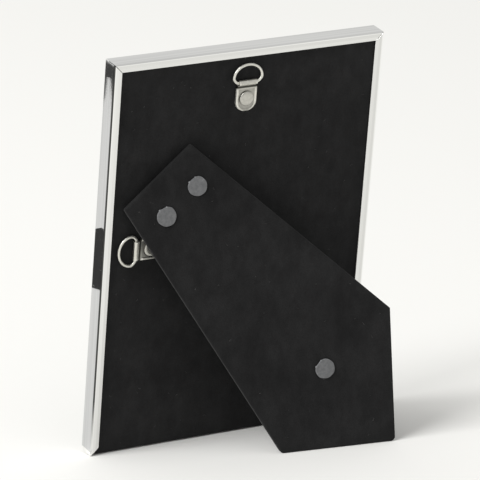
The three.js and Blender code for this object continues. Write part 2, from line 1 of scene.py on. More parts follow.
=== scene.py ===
"""Visual model of a tabletop photo frame with a velvet easel back and two ring hangers.

Everything is in metres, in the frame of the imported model: the table is z = 0, the front of the photo
frame faces -Y, and its back, with the easel leg, faces +Y. Each sub-assembly is drawn in a local frame
of its own, a Place, whose x runs across it, y out of its face and z up it.
"""

import json
import logging
import math
import random
from collections.abc import Callable, Sequence
from dataclasses import dataclass, field
from enum import Enum
from functools import cached_property
from itertools import accumulate

import bmesh
import bpy
from bpy.types import bpy_prop_collection, ID, Material, Mesh, Node, NodeSocket, NodeTree, Object
from mathutils import Matrix, Vector
from mathutils.geometry import convex_hull_2d


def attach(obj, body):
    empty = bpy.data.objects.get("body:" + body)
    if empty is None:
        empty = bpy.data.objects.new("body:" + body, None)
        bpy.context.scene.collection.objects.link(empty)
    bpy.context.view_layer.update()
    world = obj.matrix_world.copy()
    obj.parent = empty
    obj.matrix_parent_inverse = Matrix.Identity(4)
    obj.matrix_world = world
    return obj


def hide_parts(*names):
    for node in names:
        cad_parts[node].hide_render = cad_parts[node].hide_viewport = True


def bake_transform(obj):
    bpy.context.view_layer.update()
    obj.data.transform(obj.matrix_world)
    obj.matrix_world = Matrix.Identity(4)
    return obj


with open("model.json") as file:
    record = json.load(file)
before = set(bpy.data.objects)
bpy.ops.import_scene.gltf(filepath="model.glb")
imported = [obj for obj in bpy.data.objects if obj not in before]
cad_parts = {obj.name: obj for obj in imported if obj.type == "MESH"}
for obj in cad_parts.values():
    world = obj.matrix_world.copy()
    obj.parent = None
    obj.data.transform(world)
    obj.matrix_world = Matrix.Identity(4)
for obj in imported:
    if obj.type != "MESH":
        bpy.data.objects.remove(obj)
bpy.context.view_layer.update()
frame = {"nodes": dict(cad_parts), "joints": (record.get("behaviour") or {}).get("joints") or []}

log = logging.getLogger("photo_frame")

MM = 0.001
HOLD = 0.06 * MM  # flat kept beside a fold, so that its shading stays in the fold
MERGE = 0.002 * MM
RUN = "Run"  # UV map: metres along a swept piece, and metres round its section
PAINTED_SHADE_AND_TONE = "PaintedShadeAndTone"  # attribute, 0 for none to 1 for the darkest: painted shade on the straps, a painted dark reflection line in the rails' back folds, and a plain darker tone on the hanger rivets
BRUSHING_AND_LIP_SHADE = "Brushed"  # attribute, 0 to 1: how much the outer half of a lip is brushed and takes a painted darker reflection tone

Color = tuple[float, float, float]
Signal = float | int | Sequence[float] | NodeSocket | ID
Sockets = bpy_prop_collection


class Body(Enum):
    """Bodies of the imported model."""

    FRAME = "frame"
    BACK = "back"
    LEG = "leg"
    TOP_RING = "top_ring"
    SIDE_RING = "side_ring"


class Slot(Enum):
    """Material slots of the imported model."""

    POLISHED = "polished"
    STEEL = "steel"
    NICKEL = "nickel"
    GREY_RIVET = "grey_rivet"
    GLASS = "glass"
    PAPER = "paper"
    CARD = "card"
    BOARD = "board"
    VELVET = "velvet"
    LINING = "lining"
    RIBBON = "ribbon"


# ---- Places and outlines ----


@dataclass(frozen=True)
class Place:
    """Local frame of a sub-assembly: its origin, and unit axes across it, out of its face and up it."""

    origin: Vector
    across: Vector
    out: Vector
    up: Vector

    @property
    def matrix(self) -> Matrix:
        """Matrix from the local frame to the world."""
        turn = Matrix((self.across, self.out, self.up)).transposed().to_4x4()
        return Matrix.Translation(self.origin) @ turn

    def at(self, x: float = 0.0, y: float = 0.0, z: float = 0.0) -> Vector:
        """World point of a local one."""
        return self.origin + self.across * x + self.out * y + self.up * z

    def moved(self, x: float = 0.0, y: float = 0.0, z: float = 0.0) -> "Place":
        """The same axes at another origin."""
        return Place(self.at(x, y, z), self.across, self.out, self.up)

    def turned(self, angle: float, axis: Vector) -> "Place":
        """The same origin with the axes turned about a world axis."""
        turn = Matrix.Rotation(angle, 3, axis)
        return Place(self.origin, turn @ self.across, turn @ self.out, turn @ self.up)

    def local(self, point: Vector) -> Vector:
        """Local coordinates of a world point."""
        offset = point - self.origin
        return Vector((offset.dot(self.across), offset.dot(self.out), offset.dot(self.up)))

    def node_points(self, node: str) -> list[Vector]:
        """Vertices of a CAD node in this frame."""
        return [self.local(vertex.co) for vertex in frame["nodes"][node].data.vertices]

    def node_box(self, node: str) -> tuple[Vector, Vector]:
        """Lowest and highest corner of a CAD node in this frame."""
        points = self.node_points(node)
        low = Vector([min(point[axis] for point in points) for axis in range(3)])
        high = Vector([max(point[axis] for point in points) for axis in range(3)])
        return low, high

    def middle_of(self, node: str) -> Vector:
        """Middle of a CAD node's box, in this frame."""
        low, high = self.node_box(node)
        return (low + high) / 2

    def spots(self, nodes: Sequence[str], y: float) -> list[Vector]:
        """Middles of CAD nodes, brought to one level."""
        return [Vector((middle.x, y, middle.z)) for middle in map(self.middle_of, nodes)]


WORLD = Place(Vector(), Vector((1, 0, 0)), Vector((0, 1, 0)), Vector((0, 0, 1)))


def joint(name: str) -> dict:
    """The record's joint of that name."""
    return next(entry for entry in frame["joints"] if entry["name"] == name)


@dataclass(frozen=True)
class Stance:
    """Where the sub-assemblies stand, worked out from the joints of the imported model."""

    splay: float = math.radians(14.54)

    @property
    def back(self) -> Place:
        """Leaning frame of the rails and the back: its y is 0 on the back of the rails' plane through
        the table under the origin, and its z runs up the frame."""
        up = -Vector(joint("back_slide")["axis"]).normalized()
        across = Vector((1, 0, 0))
        rough = Place(Vector(), across, up.cross(across), up)
        low, high = rough.node_box("rail_left")
        return rough.moved(y=high.y, z=low.z)

    @property
    def hinge(self) -> Place:
        """Easel hinge: x along the pin, y out of the back, z up the shut leg."""
        along = Vector(joint("leg_fold")["axis"]).normalized()
        out = self.back.out
        return Place(Vector(joint("leg_fold")["pos_m"]), along, out, along.cross(out))

    @property
    def leg(self) -> Place:
        """The hinge's frame turned with the open leg."""
        return self.hinge.turned(self.splay, self.hinge.across)

    def ring(self, name: str) -> Place:
        """A hanger's frame: x along the ring's bar, y out of the back, z towards the ring."""
        entry = joint(name)
        along = -Vector(entry["axis"]).normalized()
        out = self.back.out
        return Place(Vector(entry["pos_m"]), along, out, along.cross(out))


def clamp(value: float) -> float:
    """The value kept between 0 and 1."""
    return min(1.0, max(0.0, value))


def ease(share: float) -> float:
    """A share between 0 and 1 that starts and ends slowly."""
    return share * share * (3 - 2 * share)


def shares(count: int) -> list[float]:
    """Shares from 0 to 1 in so many even steps."""
    return [step / count for step in range(count + 1)]


def circle(count: int) -> list[tuple[float, float]]:
    """Cosine and sine of even turns round a circle."""
    turns = [2 * math.pi * step / count for step in range(count)]
    return [(math.cos(turn), math.sin(turn)) for turn in turns]


def curve(start: Vector, pull: Vector, end: Vector, share: float) -> Vector:
    """Point of a curve that leaves its start and reaches its end towards the same pull."""
    return start * (1 - share) ** 2 + pull * (2 * share * (1 - share)) + end * share * share


def heading(line: Sequence[Vector], index: int) -> Vector:
    """Direction of an open line at one of its points."""
    return (line[min(index + 1, len(line) - 1)] - line[max(index - 1, 0)]).normalized()


def signed_area(outline: Sequence[Vector]) -> float:
    """Twice the area of a closed outline, negative where it runs clockwise."""
    return sum(a.x * b.y - b.x * a.y for a, b in zip(outline, [*outline[1:], outline[0]]))


def fillet(before: Vector, corner: Vector, after: Vector, radius: float, steps: int) -> list[Vector]:
    """Rounds a corner of an outline.

    Args:
        before: The outline's point before the corner.
        corner: The sharp corner.
        after: The outline's point after it.
        radius: Radius of the arc.
        steps: Number of straight steps in the arc.

    Returns:
        The arc's points, with one holding point on the flat at each end.
    """
    into = (before - corner).normalized()
    away = (after - corner).normalized()
    half = into.angle(away) / 2
    reach = radius / math.tan(half)
    centre = corner + (into + away).normalized() * (radius / math.sin(half))
    start = corner + into * reach - centre
    end = corner + away * reach - centre
    sweep = math.pi - 2 * half
    arc = []
    for share in shares(steps):
        near, far = math.sin((1 - share) * sweep), math.sin(share * sweep)
        arc.append(centre + (start * near + end * far) / math.sin(sweep))
    hold = min(HOLD, radius)
    return [arc[0] + into * hold, *arc, arc[-1] + away * hold]


def rounded(corners: Sequence[Vector], radii: Sequence[float], steps: int = 6) -> list[Vector]:
    """Closed outline through the corners, each rounded by its own radius."""
    count = len(corners)
    outline = []
    for i, corner in enumerate(corners):
        outline += fillet(corners[i - 1], corner, corners[(i + 1) % count], radii[i], steps)
    return outline


def evenly(outline: Sequence[Vector], spacing: float) -> list[Vector]:
    """Closed outline with its long sides divided into steps of at most the spacing."""
    points = []
    for i, point in enumerate(outline):
        following = outline[(i + 1) % len(outline)]
        parts = max(1, math.ceil((following - point).length / spacing))
        points += [point.lerp(following, part / parts) for part in range(parts)]
    return points


def inset(outline: Sequence[Vector], distance: float) -> list[Vector]:
    """Closed anticlockwise outline moved inwards by a distance."""
    moved = []
    for i, point in enumerate(outline):
        back = (point - outline[i - 1]).normalized()
        ahead = (outline[(i + 1) % len(outline)] - point).normalized()
        along = (back + ahead).normalized()
        inward = Vector((-along.y, along.x))
        moved.append(point + inward * (distance / max(0.5, along.dot(ahead))))
    return moved


def long_sided(points: Sequence[Vector], shortest: float = 8 * MM) -> list[Vector]:
    """Sharp corners of a flat convex piece whose corners are rounded.

    Args:
        points: Local points of the piece; their x and z are used.
        shortest: Length from which a stretch of the outline counts as a side.

    Returns:
        The corners, anticlockwise, where the long sides would meet.
    """
    flat = [Vector((point.x, point.z)) for point in points]
    hull = [flat[i] for i in convex_hull_2d(flat)]
    if signed_area(hull) < 0:
        hull.reverse()
    sides = [side for side in zip(hull, hull[1:] + hull[:1]) if (side[1] - side[0]).length > shortest]
    corners = []
    for (a, b), (c, d) in zip(sides[-1:] + sides[:-1], sides):
        first = (b - a).normalized()
        second = (d - c).normalized()
        turn = first.x * second.y - first.y * second.x
        gap = c - a
        corners.append(a + first * ((gap.x * second.y - gap.y * second.x) / turn))
    return corners


def flat_point(point: Vector, y: float) -> Vector:
    """Local point of an outline's point at a height above the face."""
    return Vector((point.x, y, point.y))


# ---- Drawing meshes ----


@dataclass
class Draft:
    """A mesh being drawn in a Place."""

    place: Place
    mesh: bmesh.types.BMesh = field(default_factory=bmesh.new)

    def loft(self, rings: Sequence[Sequence[Vector]], wrap: bool = True, caps: bool = True) -> None:
        """Skins a row of rings of equal length.

        Args:
            rings: Local points, ring by ring along the piece.
            wrap: Whether each ring closes on itself.
            caps: Whether the first and last ring are filled.
        """
        run = self.mesh.loops.layers.uv.get(RUN) or self.mesh.loops.layers.uv.new(RUN)
        rows = [[self.mesh.verts.new(point) for point in ring] for ring in rings]
        steps = [(b[0] - a[0]).length for a, b in zip(rings, rings[1:])]
        along = [0.0, *accumulate(steps)]
        middle = rings[len(rings) // 2]
        closed = [*middle, middle[0]] if wrap else list(middle)
        around = [0.0, *accumulate((b - a).length for a, b in zip(closed, closed[1:]))]
        for i, (low, high) in enumerate(zip(rows, rows[1:])):
            for j in range(len(closed) - 1):
                k = (j + 1) % len(low)
                corners = ((low[j], i, j), (low[k], i, j + 1), (high[k], i + 1, j + 1), (high[j], i + 1, j))
                face = self.mesh.faces.new([corner[0] for corner in corners])
                for loop, (_, row, column) in zip(face.loops, corners):
                    loop[run].uv = (along[row], around[column])
        if caps:
            for row in (rows[0], rows[-1]):
                self.mesh.faces.new(row)

    def lathe(
        self, profile: Sequence[Vector], steps: int, radius: Callable[[float], float] | None = None
    ) -> None:
        """Turns a profile about the local y axis.

        Args:
            profile: Points as (distance from the axis, y), from one end of the axis to the other.
            steps: Number of facets round the axis.
            radius: Factor on the distance from the axis at an angle, for a piece that isn't quite round.
        """
        rings = []
        for step in range(steps):
            angle = 2 * math.pi * step / steps
            factor = radius(angle) if radius else 1.0
            cosine, sine = math.cos(angle), math.sin(angle)
            rings.append([Vector((p.x * factor * cosine, p.y, p.x * factor * sine)) for p in profile])
        self.loft([*rings, rings[0]], wrap=False, caps=False)

    def shift(self, move: Callable[[Vector], Vector]) -> None:
        """Moves every vertex by a function of its local place."""
        for vertex in self.mesh.verts:
            vertex.co += move(vertex.co)

    def to_mesh(self, name: str, sharp: float = 40.0) -> Mesh:
        """Closes the mesh, points its faces outwards and puts it in world place.

        Args:
            name: Name of the mesh.
            sharp: Angle in degrees from which an edge is drawn sharp.

        Returns:
            The finished mesh.
        """
        bmesh.ops.remove_doubles(self.mesh, verts=self.mesh.verts, dist=MERGE)
        bmesh.ops.dissolve_degenerate(self.mesh, edges=self.mesh.edges, dist=MERGE / 4)
        bmesh.ops.recalc_face_normals(self.mesh, faces=self.mesh.faces)
        self.mesh.transform(self.place.matrix)
        data = bpy.data.meshes.new(name)
        self.mesh.to_mesh(data)
        self.mesh.free()
        shade(data, sharp)
        return data


def shade(data: Mesh, sharp: float = 40.0) -> None:
    """Shades a mesh smooth, but for edges sharper than an angle in degrees."""
    data.shade_smooth()
    data.set_sharp_from_angle(angle=math.radians(sharp))


def paint(data: Mesh, name: str, values: Sequence[float]) -> None:
    """Gives each vertex of a mesh a value that a material reads."""
    data.attributes.new(name, "FLOAT", "POINT").data.foreach_set("value", values)


def new_object(name: str, data: ID) -> Object:
    """Links a new object to the scene."""
    made = bpy.data.objects.new(name, data)
    bpy.context.scene.collection.objects.link(made)
    return made


def settle(
    name: str,
    data: Mesh,
    look: Material | None,
    body: Body | None,
    replaces: Sequence[str] = (),
) -> Object:
    """Makes a finished piece of a mesh that is in world place.

    Args:
        name: Name of the piece.
        data: Its mesh.
        look: Its material, or None where the mesh has one already.
        body: The body that it rides on, or None where it bends between two.
        replaces: CAD nodes that it stands for.

    Returns:
        The piece's object.
    """
    made = new_object(name, data)
    if look is not None:
        data.materials.clear()
        data.materials.append(look)
    if body is not None:
        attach(made, body.value)
    if replaces:
        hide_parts(*replaces)
    log.info("%s: %d faces on %s", name, len(data.polygons), body.value if body else "two bodies")
    return made


def new_look(name: str) -> tuple[Material, Node]:
    """A new material and its Principled shader."""
    look = bpy.data.materials.new(name)
    look.use_nodes = True
    return look, look.node_tree.nodes["Principled BSDF"]


def refinish(node: str, look: Material) -> None:
    """Gives a CAD node that keeps its shape a better material."""
    piece = frame["nodes"][node]
    for material_slot in piece.material_slots:
        material_slot.material = look
    log.info("%s: CAD shape, new finish", node)


# ---- Node trees ----


def opaque(signal: Signal) -> Signal:
    """A colour of three numbers with its alpha, or any other signal as it is."""
    return (*signal, 1.0) if isinstance(signal, tuple) and len(signal) == 3 else signal


@dataclass
class Wiring:
    """A node tree being wired."""

    tree: NodeTree

    def add(self, kind: str, settings: dict[str, object] | None = None, **signals: Signal) -> Node:
        """Adds a node.

        Args:
            kind: The node's type.
            settings: Properties of the node, set first.
            **signals: Its inputs, by name with _ for a space: a value, or an output to link.

        Returns:
            The node.
        """
        node = self.tree.nodes.new(kind)
        for name, value in (settings or {}).items():
            setattr(node, name, value)
        self.feed_all(node, signals)
        return node

    def feed(self, socket: NodeSocket, signal: Signal) -> None:
        """Links an output to a socket, or sets its value."""
        if isinstance(signal, NodeSocket):
            self.tree.links.new(signal, socket)
        else:
            socket.default_value = signal

    def feed_all(self, node: Node, signals: dict[str, Signal]) -> None:
        """Feeds a node's inputs, by name with _ for a space."""
        for name, signal in signals.items():
            self.feed(node.inputs[name.replace("_", " ")], opaque(signal))

    def math(self, operation: str, *signals: Signal) -> NodeSocket:
        """Output of a Math node."""
        node = self.add("ShaderNodeMath", {"operation": operation})
        for socket, signal in zip(node.inputs, signals):
            self.feed(socket, signal)
        return node.outputs[0]

    def plus(self, first: Signal, second: Signal) -> NodeSocket:
        """Sum of two signals."""
        return self.math("ADD", first, second)

    def minus(self, first: Signal, second: Signal) -> NodeSocket:
        """The first signal less the second."""
        return self.math("SUBTRACT", first, second)

    def times(self, first: Signal, second: Signal) -> NodeSocket:
        """Product of two signals."""
        return self.math("MULTIPLY", first, second)

    def mix(self, share: Signal, first: Signal, second: Signal, blend: str = "MIX") -> NodeSocket:
        """Colour output of a Mix node."""
        node = self.add("ShaderNodeMix", {"data_type": "RGBA", "blend_type": blend})
        for index, signal in ((0, share), (6, first), (7, second)):
            self.feed(node.inputs[index], opaque(signal))
        return node.outputs[2]

    def stain(self, color: Signal, mask: Signal, strength: float, over: Color) -> NodeSocket:
        """A colour with another laid over it where a mask says so."""
        return self.mix(self.times(mask, strength), color, over)

    def remap(
        self, signal: Signal, low: Signal, high: Signal, to_low: Signal = 0.0, to_high: Signal = 1.0
    ) -> NodeSocket:
        """Output of a clamped Map Range node."""
        ends = {"From_Min": low, "From_Max": high, "To_Min": to_low, "To_Max": to_high}
        return self.add("ShaderNodeMapRange", Value=signal, **ends).outputs[0]

    def scaled(self, vector: Signal, factors: Signal) -> NodeSocket:
        """A vector multiplied part by part."""
        node = self.add("ShaderNodeVectorMath", {"operation": "MULTIPLY"})
        self.feed(node.inputs[0], vector)
        self.feed(node.inputs[1], factors)
        return node.outputs[0]

    def noise(
        self, vector: Signal, scale: Signal, detail: float = 3.0, roughness: float = 0.55
    ) -> NodeSocket:
        """Output of a Noise Texture."""
        look = {"Detail": detail, "Roughness": roughness}
        return self.add("ShaderNodeTexNoise", Vector=vector, Scale=scale, **look).outputs[0]

    def attribute(self, name: str) -> NodeSocket:
        """Value of one of the mesh's own attributes."""
        return self.add("ShaderNodeAttribute", {"attribute_name": name}).outputs["Fac"]

    def level(self, vector: Signal, place: Place) -> Sockets:
        """X, Y and Z of a vector turned to the axes of a Place."""
        turn = place.matrix.to_3x3().inverted().to_euler()
        turned = self.add("ShaderNodeMapping", Vector=vector, Rotation=turn).outputs[0]
        return self.add("ShaderNodeSeparateXYZ", Vector=turned).outputs


@dataclass
class Group(Wiring):
    """A node group being wired, with its own inputs at hand."""

    given: Sockets
    leave: Node

    def give(self, **signals: Signal) -> NodeTree:
        """Feeds the group's outputs and hands over its tree."""
        self.feed_all(self.leave, signals)
        return self.tree


FLOAT = "NodeSocketFloat"
INTEGER = "NodeSocketInt"
VECTOR = "NodeSocketVector"
COLOR = "NodeSocketColor"
GEOMETRY = "NodeSocketGeometry"
OBJECT = "NodeSocketObject"
MATERIAL = "NodeSocketMaterial"


def new_group(name: str, kind: str, inputs: dict[str, str], outputs: dict[str, str]) -> Group:
    """Makes a node group with named sockets.

    Args:
        name: Name of the group.
        kind: Type of the tree.
        inputs: Socket type of each input.
        outputs: Socket type of each output.

    Returns:
        The group, ready to be wired.
    """
    tree = bpy.data.node_groups.new(name, kind)
    for sockets, direction in ((inputs, "INPUT"), (outputs, "OUTPUT")):
        for label, socket_type in sockets.items():
            tree.interface.new_socket(name=label, in_out=direction, socket_type=socket_type)
    return Group(tree, tree.nodes.new("NodeGroupInput").outputs, tree.nodes.new("NodeGroupOutput"))


def effect_group(
    name: str, numbers: Sequence[str], outputs: Sequence[str], colors: Sequence[str] = ()
) -> Group:
    """Makes a shader group on a Vector.

    Args:
        name: Name of the group.
        numbers: Its inputs that are numbers.
        outputs: Its outputs: Color is a colour, and all others are numbers.
        colors: Its inputs that are colours.

    Returns:
        The group, ready to be wired.
    """
    inputs = {"Vector": VECTOR, **dict.fromkeys(numbers, FLOAT), **dict.fromkeys(colors, COLOR)}
    gives = {label: COLOR if label == "Color" else FLOAT for label in outputs}
    return new_group(name, "ShaderNodeTree", inputs, gives)


def per(size_mm: float) -> float:
    """Texture scale at which one feature is about this many millimetres."""
    return 1.0 / (size_mm * MM)


def mottle() -> NodeTree:
    """Clouds between two colours."""
    group = effect_group("mottle", ("Scale", "Softness"), ("Color", "Mask"), ("Dark", "Light"))
    given = group.given
    clouds = group.noise(given["Vector"], given["Scale"], 5.0, 0.6)
    low, high = group.minus(0.5, given["Softness"]), group.plus(0.5, given["Softness"])
    mask = group.remap(clouds, low, high)
    return group.give(Color=group.mix(mask, given["Dark"], given["Light"]), Mask=mask)


def scratches() -> NodeTree:
    """Fine hairlines in two directions."""
    group = effect_group("scratches", ("Scale", "Amount"), ("Mask",))
    given = group.given
    threshold = group.minus(0.74, group.times(given["Amount"], 0.1))
    masks = []
    for stretch in ((1.0, 0.05, 0.06), (0.06, 0.05, 1.0)):
        lines = group.noise(group.scaled(given["Vector"], stretch), given["Scale"], 2.0, 0.4)
        masks.append(group.remap(lines, threshold, 0.8))
    return group.give(Mask=group.math("MAXIMUM", *masks))


def drawn_lines() -> NodeTree:
    """Lines along the x of the given vector, as rolling or brushing leaves them."""
    group = effect_group("drawn_lines", ("Line Scale", "Length Scale"), ("Height",))
    across, along = group.given["Line Scale"], group.given["Length Scale"]
    scale = group.add("ShaderNodeCombineXYZ", X=along, Y=across, Z=across).outputs[0]
    return group.give(Height=group.noise(group.scaled(group.given["Vector"], scale), 1.0, 3.0, 0.6))


def pile() -> NodeTree:
    """Short cloth pile: the height of its tufts, and how far it is brushed one way or the other."""
    group = effect_group("pile", ("Tuft Scale", "Brush Scale"), ("Height", "Brushed"))
    vector, scale = group.given["Vector"], group.given["Tuft Scale"]
    tufts = group.add("ShaderNodeTexVoronoi", Vector=vector, Scale=scale).outputs["Distance"]
    strands = group.noise(vector, group.times(scale, 0.6), 2.0, 0.7)
    height = group.plus(group.times(group.minus(1.0, tufts), 0.5), group.times(strands, 0.5))
    brushed_and_shaded = group.noise(group.scaled(vector, (1.0, 1.0, 0.55)), group.given["Brush Scale"], 4.0, 0.65)
    return group.give(Height=height, Brushed=group.remap(brushed_and_shaded, 0.36, 0.64))


def specks() -> NodeTree:
    """Sparse dots of dust."""
    group = effect_group("specks", ("Scale", "Size", "Share"), ("Mask",))
    given = group.given
    cells = group.add("ShaderNodeTexVoronoi", Vector=given["Vector"], Scale=given["Scale"]).outputs
    near = group.remap(cells["Distance"], group.times(given["Size"], 0.4), given["Size"], 1.0, 0.0)
    pick = group.add("ShaderNodeSeparateColor", Color=cells["Color"]).outputs
    faint = group.times(group.math("LESS_THAN", pick[0], given["Share"]), pick[1])
    return group.give(Mask=group.times(near, faint))


def weave() -> NodeTree:
    """Plain weave whose threads run along the x and y of the given vector."""
    group = effect_group("weave", ("Threads",), ("Height",))
    parts = group.add("ShaderNodeSeparateXYZ", Vector=group.given["Vector"]).outputs
    angle = group.times(group.given["Threads"], math.pi)
    waves = [group.math("SINE", group.times(parts[axis], angle)) for axis in (0, 1)]
    over = group.remap(group.times(*waves), -0.25, 0.25)
    weft, warp = [group.math("ABSOLUTE", wave) for wave in waves]
    return group.give(Height=group.plus(group.times(warp, over), group.times(weft, group.minus(1.0, over))))


def rub() -> NodeTree:
    """Mask of raised edges that handling has brightened, broken up by noise."""
    group = effect_group("rub", ("Scale", "Reach"), ("Mask",))
    given = group.given
    shape = group.add("ShaderNodeNewGeometry").outputs["Pointiness"]
    edge = group.remap(shape, 0.505, group.plus(0.51, given["Reach"]))
    patchy = group.remap(group.noise(given["Vector"], given["Scale"], 3.0), 0.3, 0.6, 0.35, 1.0)
    return group.give(Mask=group.times(edge, patchy))


class Effects:
    """Shader node groups that more than one finish uses, each built once."""

    def __init__(self) -> None:
        """Builds every group."""
        self.mottle = mottle()
        self.scratches = scratches()
        self.drawn_lines = drawn_lines()
        self.pile = pile()
        self.specks = specks()
        self.weave = weave()
        self.rub = rub()


# ---- Finishes ----


@dataclass
class Skin(Wiring):
    """A material being wired, with the shared effects at hand; its sizes are in millimetres."""

    effects: Effects
    dark: Color
    light: Color

    @cached_property
    def here(self) -> NodeSocket:
        """Object coordinates, in metres."""
        return self.add("ShaderNodeTexCoord").outputs["Object"]

    @cached_property
    def run(self) -> NodeSocket:
        """The piece's own UV map, in metres along it and round it."""
        return self.add("ShaderNodeUVMap", {"uv_map": RUN}).outputs[0]

    def effect(self, tree: NodeTree, **signals: Signal) -> Sockets:
        """Outputs of a shader node group placed in the material, on object coordinates if none are given."""
        return self.add("ShaderNodeGroup", {"node_tree": tree}, **{"Vector": self.here, **signals}).outputs

    def clouds(self, size: float, softness: float) -> Sockets:
        """Clouds of the dark and the light tone, about so wide."""
        signals = {"Scale": per(size), "Softness": softness, "Dark": self.dark, "Light": self.light}
        return self.effect(self.effects.mottle, **signals)

    def hairs(self, size: float, amount: float) -> NodeSocket:
        """Mask of hairlines."""
        return self.effect(self.effects.scratches, Scale=per(size), Amount=amount)["Mask"]

    def dots(self, pitch: float, size: float, share: float) -> NodeSocket:
        """Mask of dots: their pitch, their size in pitches and how many places have one."""
        return self.effect(self.effects.specks, Scale=per(pitch), Size=size, Share=share)["Mask"]

    def rub(self, size: float, reach: float) -> NodeSocket:
        """Mask of rubbed edges."""
        return self.effect(self.effects.rub, Scale=per(size), Reach=reach)["Mask"]

    def lines(self, vector: Signal, width: float, length: float) -> NodeSocket:
        """Height of drawn lines of a width and length."""
        signals = {"Vector": vector, "Line_Scale": per(width), "Length_Scale": per(length)}
        return self.effect(self.effects.drawn_lines, **signals)["Height"]

    def grain(self, size: float, detail: float = 3.0) -> NodeSocket:
        """Noise of about that size."""
        return self.noise(self.here, per(size), detail)

    def bump(self, height: Signal, strength: float, depth: float) -> NodeSocket:
        """Normal of a Bump node."""
        node = self.add("ShaderNodeBump", Height=height, Strength=strength, Distance=depth * MM)
        return node.outputs["Normal"]


@dataclass(frozen=True)
class Finish:
    """A finish of the frame: builds one material from the shared effects."""

    name: str
    effects: Effects
    tone: Color
    dark: Color

    def material(self) -> Material:
        """Makes the material and feeds its Principled shader what the finish's own method gives."""
        look, shader = new_look(self.name)
        skin = Skin(look.node_tree, self.effects, self.dark, self.tone)
        skin.feed_all(shader, self.dress(skin))
        return look

    def dress(self, skin: Skin) -> dict[str, Signal]:
        """Wires the finish and returns what each input of the shader takes, by name with _ for a space."""
        raise NotImplementedError


@dataclass(frozen=True)
class PolishedSilver(Finish):
    """Mirror-polished rails with faint roll lines, hairlines and dust, a painted dark reflection line in the
    back fold and a painted darker reflection tone over the lip.
    """

    tone: Color = (0.97, 0.97, 0.955)
    dark: Color = (0.93, 0.93, 0.915)
    banded: Color = (0.66, 0.665, 0.655)
    # Painted darker reflection tone of the brushed lip.
    brushed_and_shaded: Color = (0.70, 0.70, 0.685)
    dust: Color = (0.7, 0.69, 0.66)
    # Painted dark reflection line in the back fold.
    painted_fold_reflection: Color = (0.032, 0.032, 0.031)
    roughness: float = 0.012
    fold_at: float = 15.64 * MM  # places round the section
    lip_at: float = 16.5 * MM
    crown_at: float = 17.9 * MM
    edge_at: float = 19.75 * MM
    soft: float = 0.15 * MM
    inner_brushing_and_shade: float = 0.65
    fold_reflection_ends: tuple[float, float] = (0.145, 0.168)  # down the rail

    def dress(self, skin: Skin) -> dict[str, Signal]:
        """Roll lines follow the rail, and hairlines and dust lie across it."""
        lines = skin.lines(skin.run, 0.35, 90.0)
        bands = skin.lines(skin.run, 1.5, 140.0)
        hairs = skin.hairs(0.5, 0.5)
        dust = skin.dots(3.5, 0.05, 0.25)
        brushed_and_shaded = self.brushing_and_lip_shade(skin)
        color = skin.mix(skin.remap(lines, 0.3, 0.7), self.dark, self.tone)
        color = skin.mix(skin.remap(bands, 0.36, 0.56, 0.35, 0.0), color, self.banded)
        color = skin.stain(color, dust, 0.25, self.dust)
        # Painted dark reflection line in the back fold, then the lip's painted darker reflection tone.
        color = skin.mix(self.painted_fold_line(skin), color, self.painted_fold_reflection)
        color = skin.mix(brushed_and_shaded, color, self.brushed_and_shaded)
        rough = skin.remap(skin.grain(22.0), 0.4, 0.7, self.roughness, self.roughness + 0.02)
        for mask, more in ((hairs, 0.08), (dust, 0.3), (brushed_and_shaded, 0.12)):
            rough = skin.plus(rough, skin.times(mask, more))
        normal = skin.bump(lines, 0.03, 0.008)
        return {"Base_Color": color, "Metallic": 1.0, "Roughness": rough, "Normal": normal}

    def section_place(self, skin: Skin) -> Sockets:
        """Place along the rail as X and round its section as Y."""
        return skin.add("ShaderNodeSeparateXYZ", Vector=skin.run).outputs

    def painted_fold_line(self, skin: Skin) -> NodeSocket:
        """Mask of a painted dark reflection line in the back fold, which stops short of the foot."""
        run = self.section_place(skin)
        off_fold = skin.math("ABSOLUTE", skin.minus(run["Y"], self.fold_at))
        line_strength = skin.times(skin.attribute(PAINTED_SHADE_AND_TONE), skin.remap(run["X"], *self.fold_reflection_ends, 1.0, 0.0))
        return skin.times(skin.remap(off_fold, 0.48 * MM, 0.66 * MM, 0.97, 0.0), line_strength)

    def brushing_and_lip_shade(self, skin: Skin) -> NodeSocket:
        """Mask of the lip's brushing and painted darker reflection tone: each rail's own value outside its
        crown, and one value inside it, with the very edge left bright.
        """
        round_section = self.section_place(skin)["Y"]
        outer = skin.attribute(BRUSHING_AND_LIP_SHADE)
        on_lip = skin.remap(round_section, self.lip_at, self.lip_at + self.soft)
        before_edge = skin.remap(round_section, self.edge_at, self.edge_at + self.soft, 1.0, 0.0)
        inner = skin.remap(round_section, self.crown_at, self.crown_at + self.soft)
        brushed_and_shaded = skin.plus(outer, skin.times(inner, skin.minus(self.inner_brushing_and_shade, outer)))
        return skin.times(brushed_and_shaded, skin.times(on_lip, before_edge))


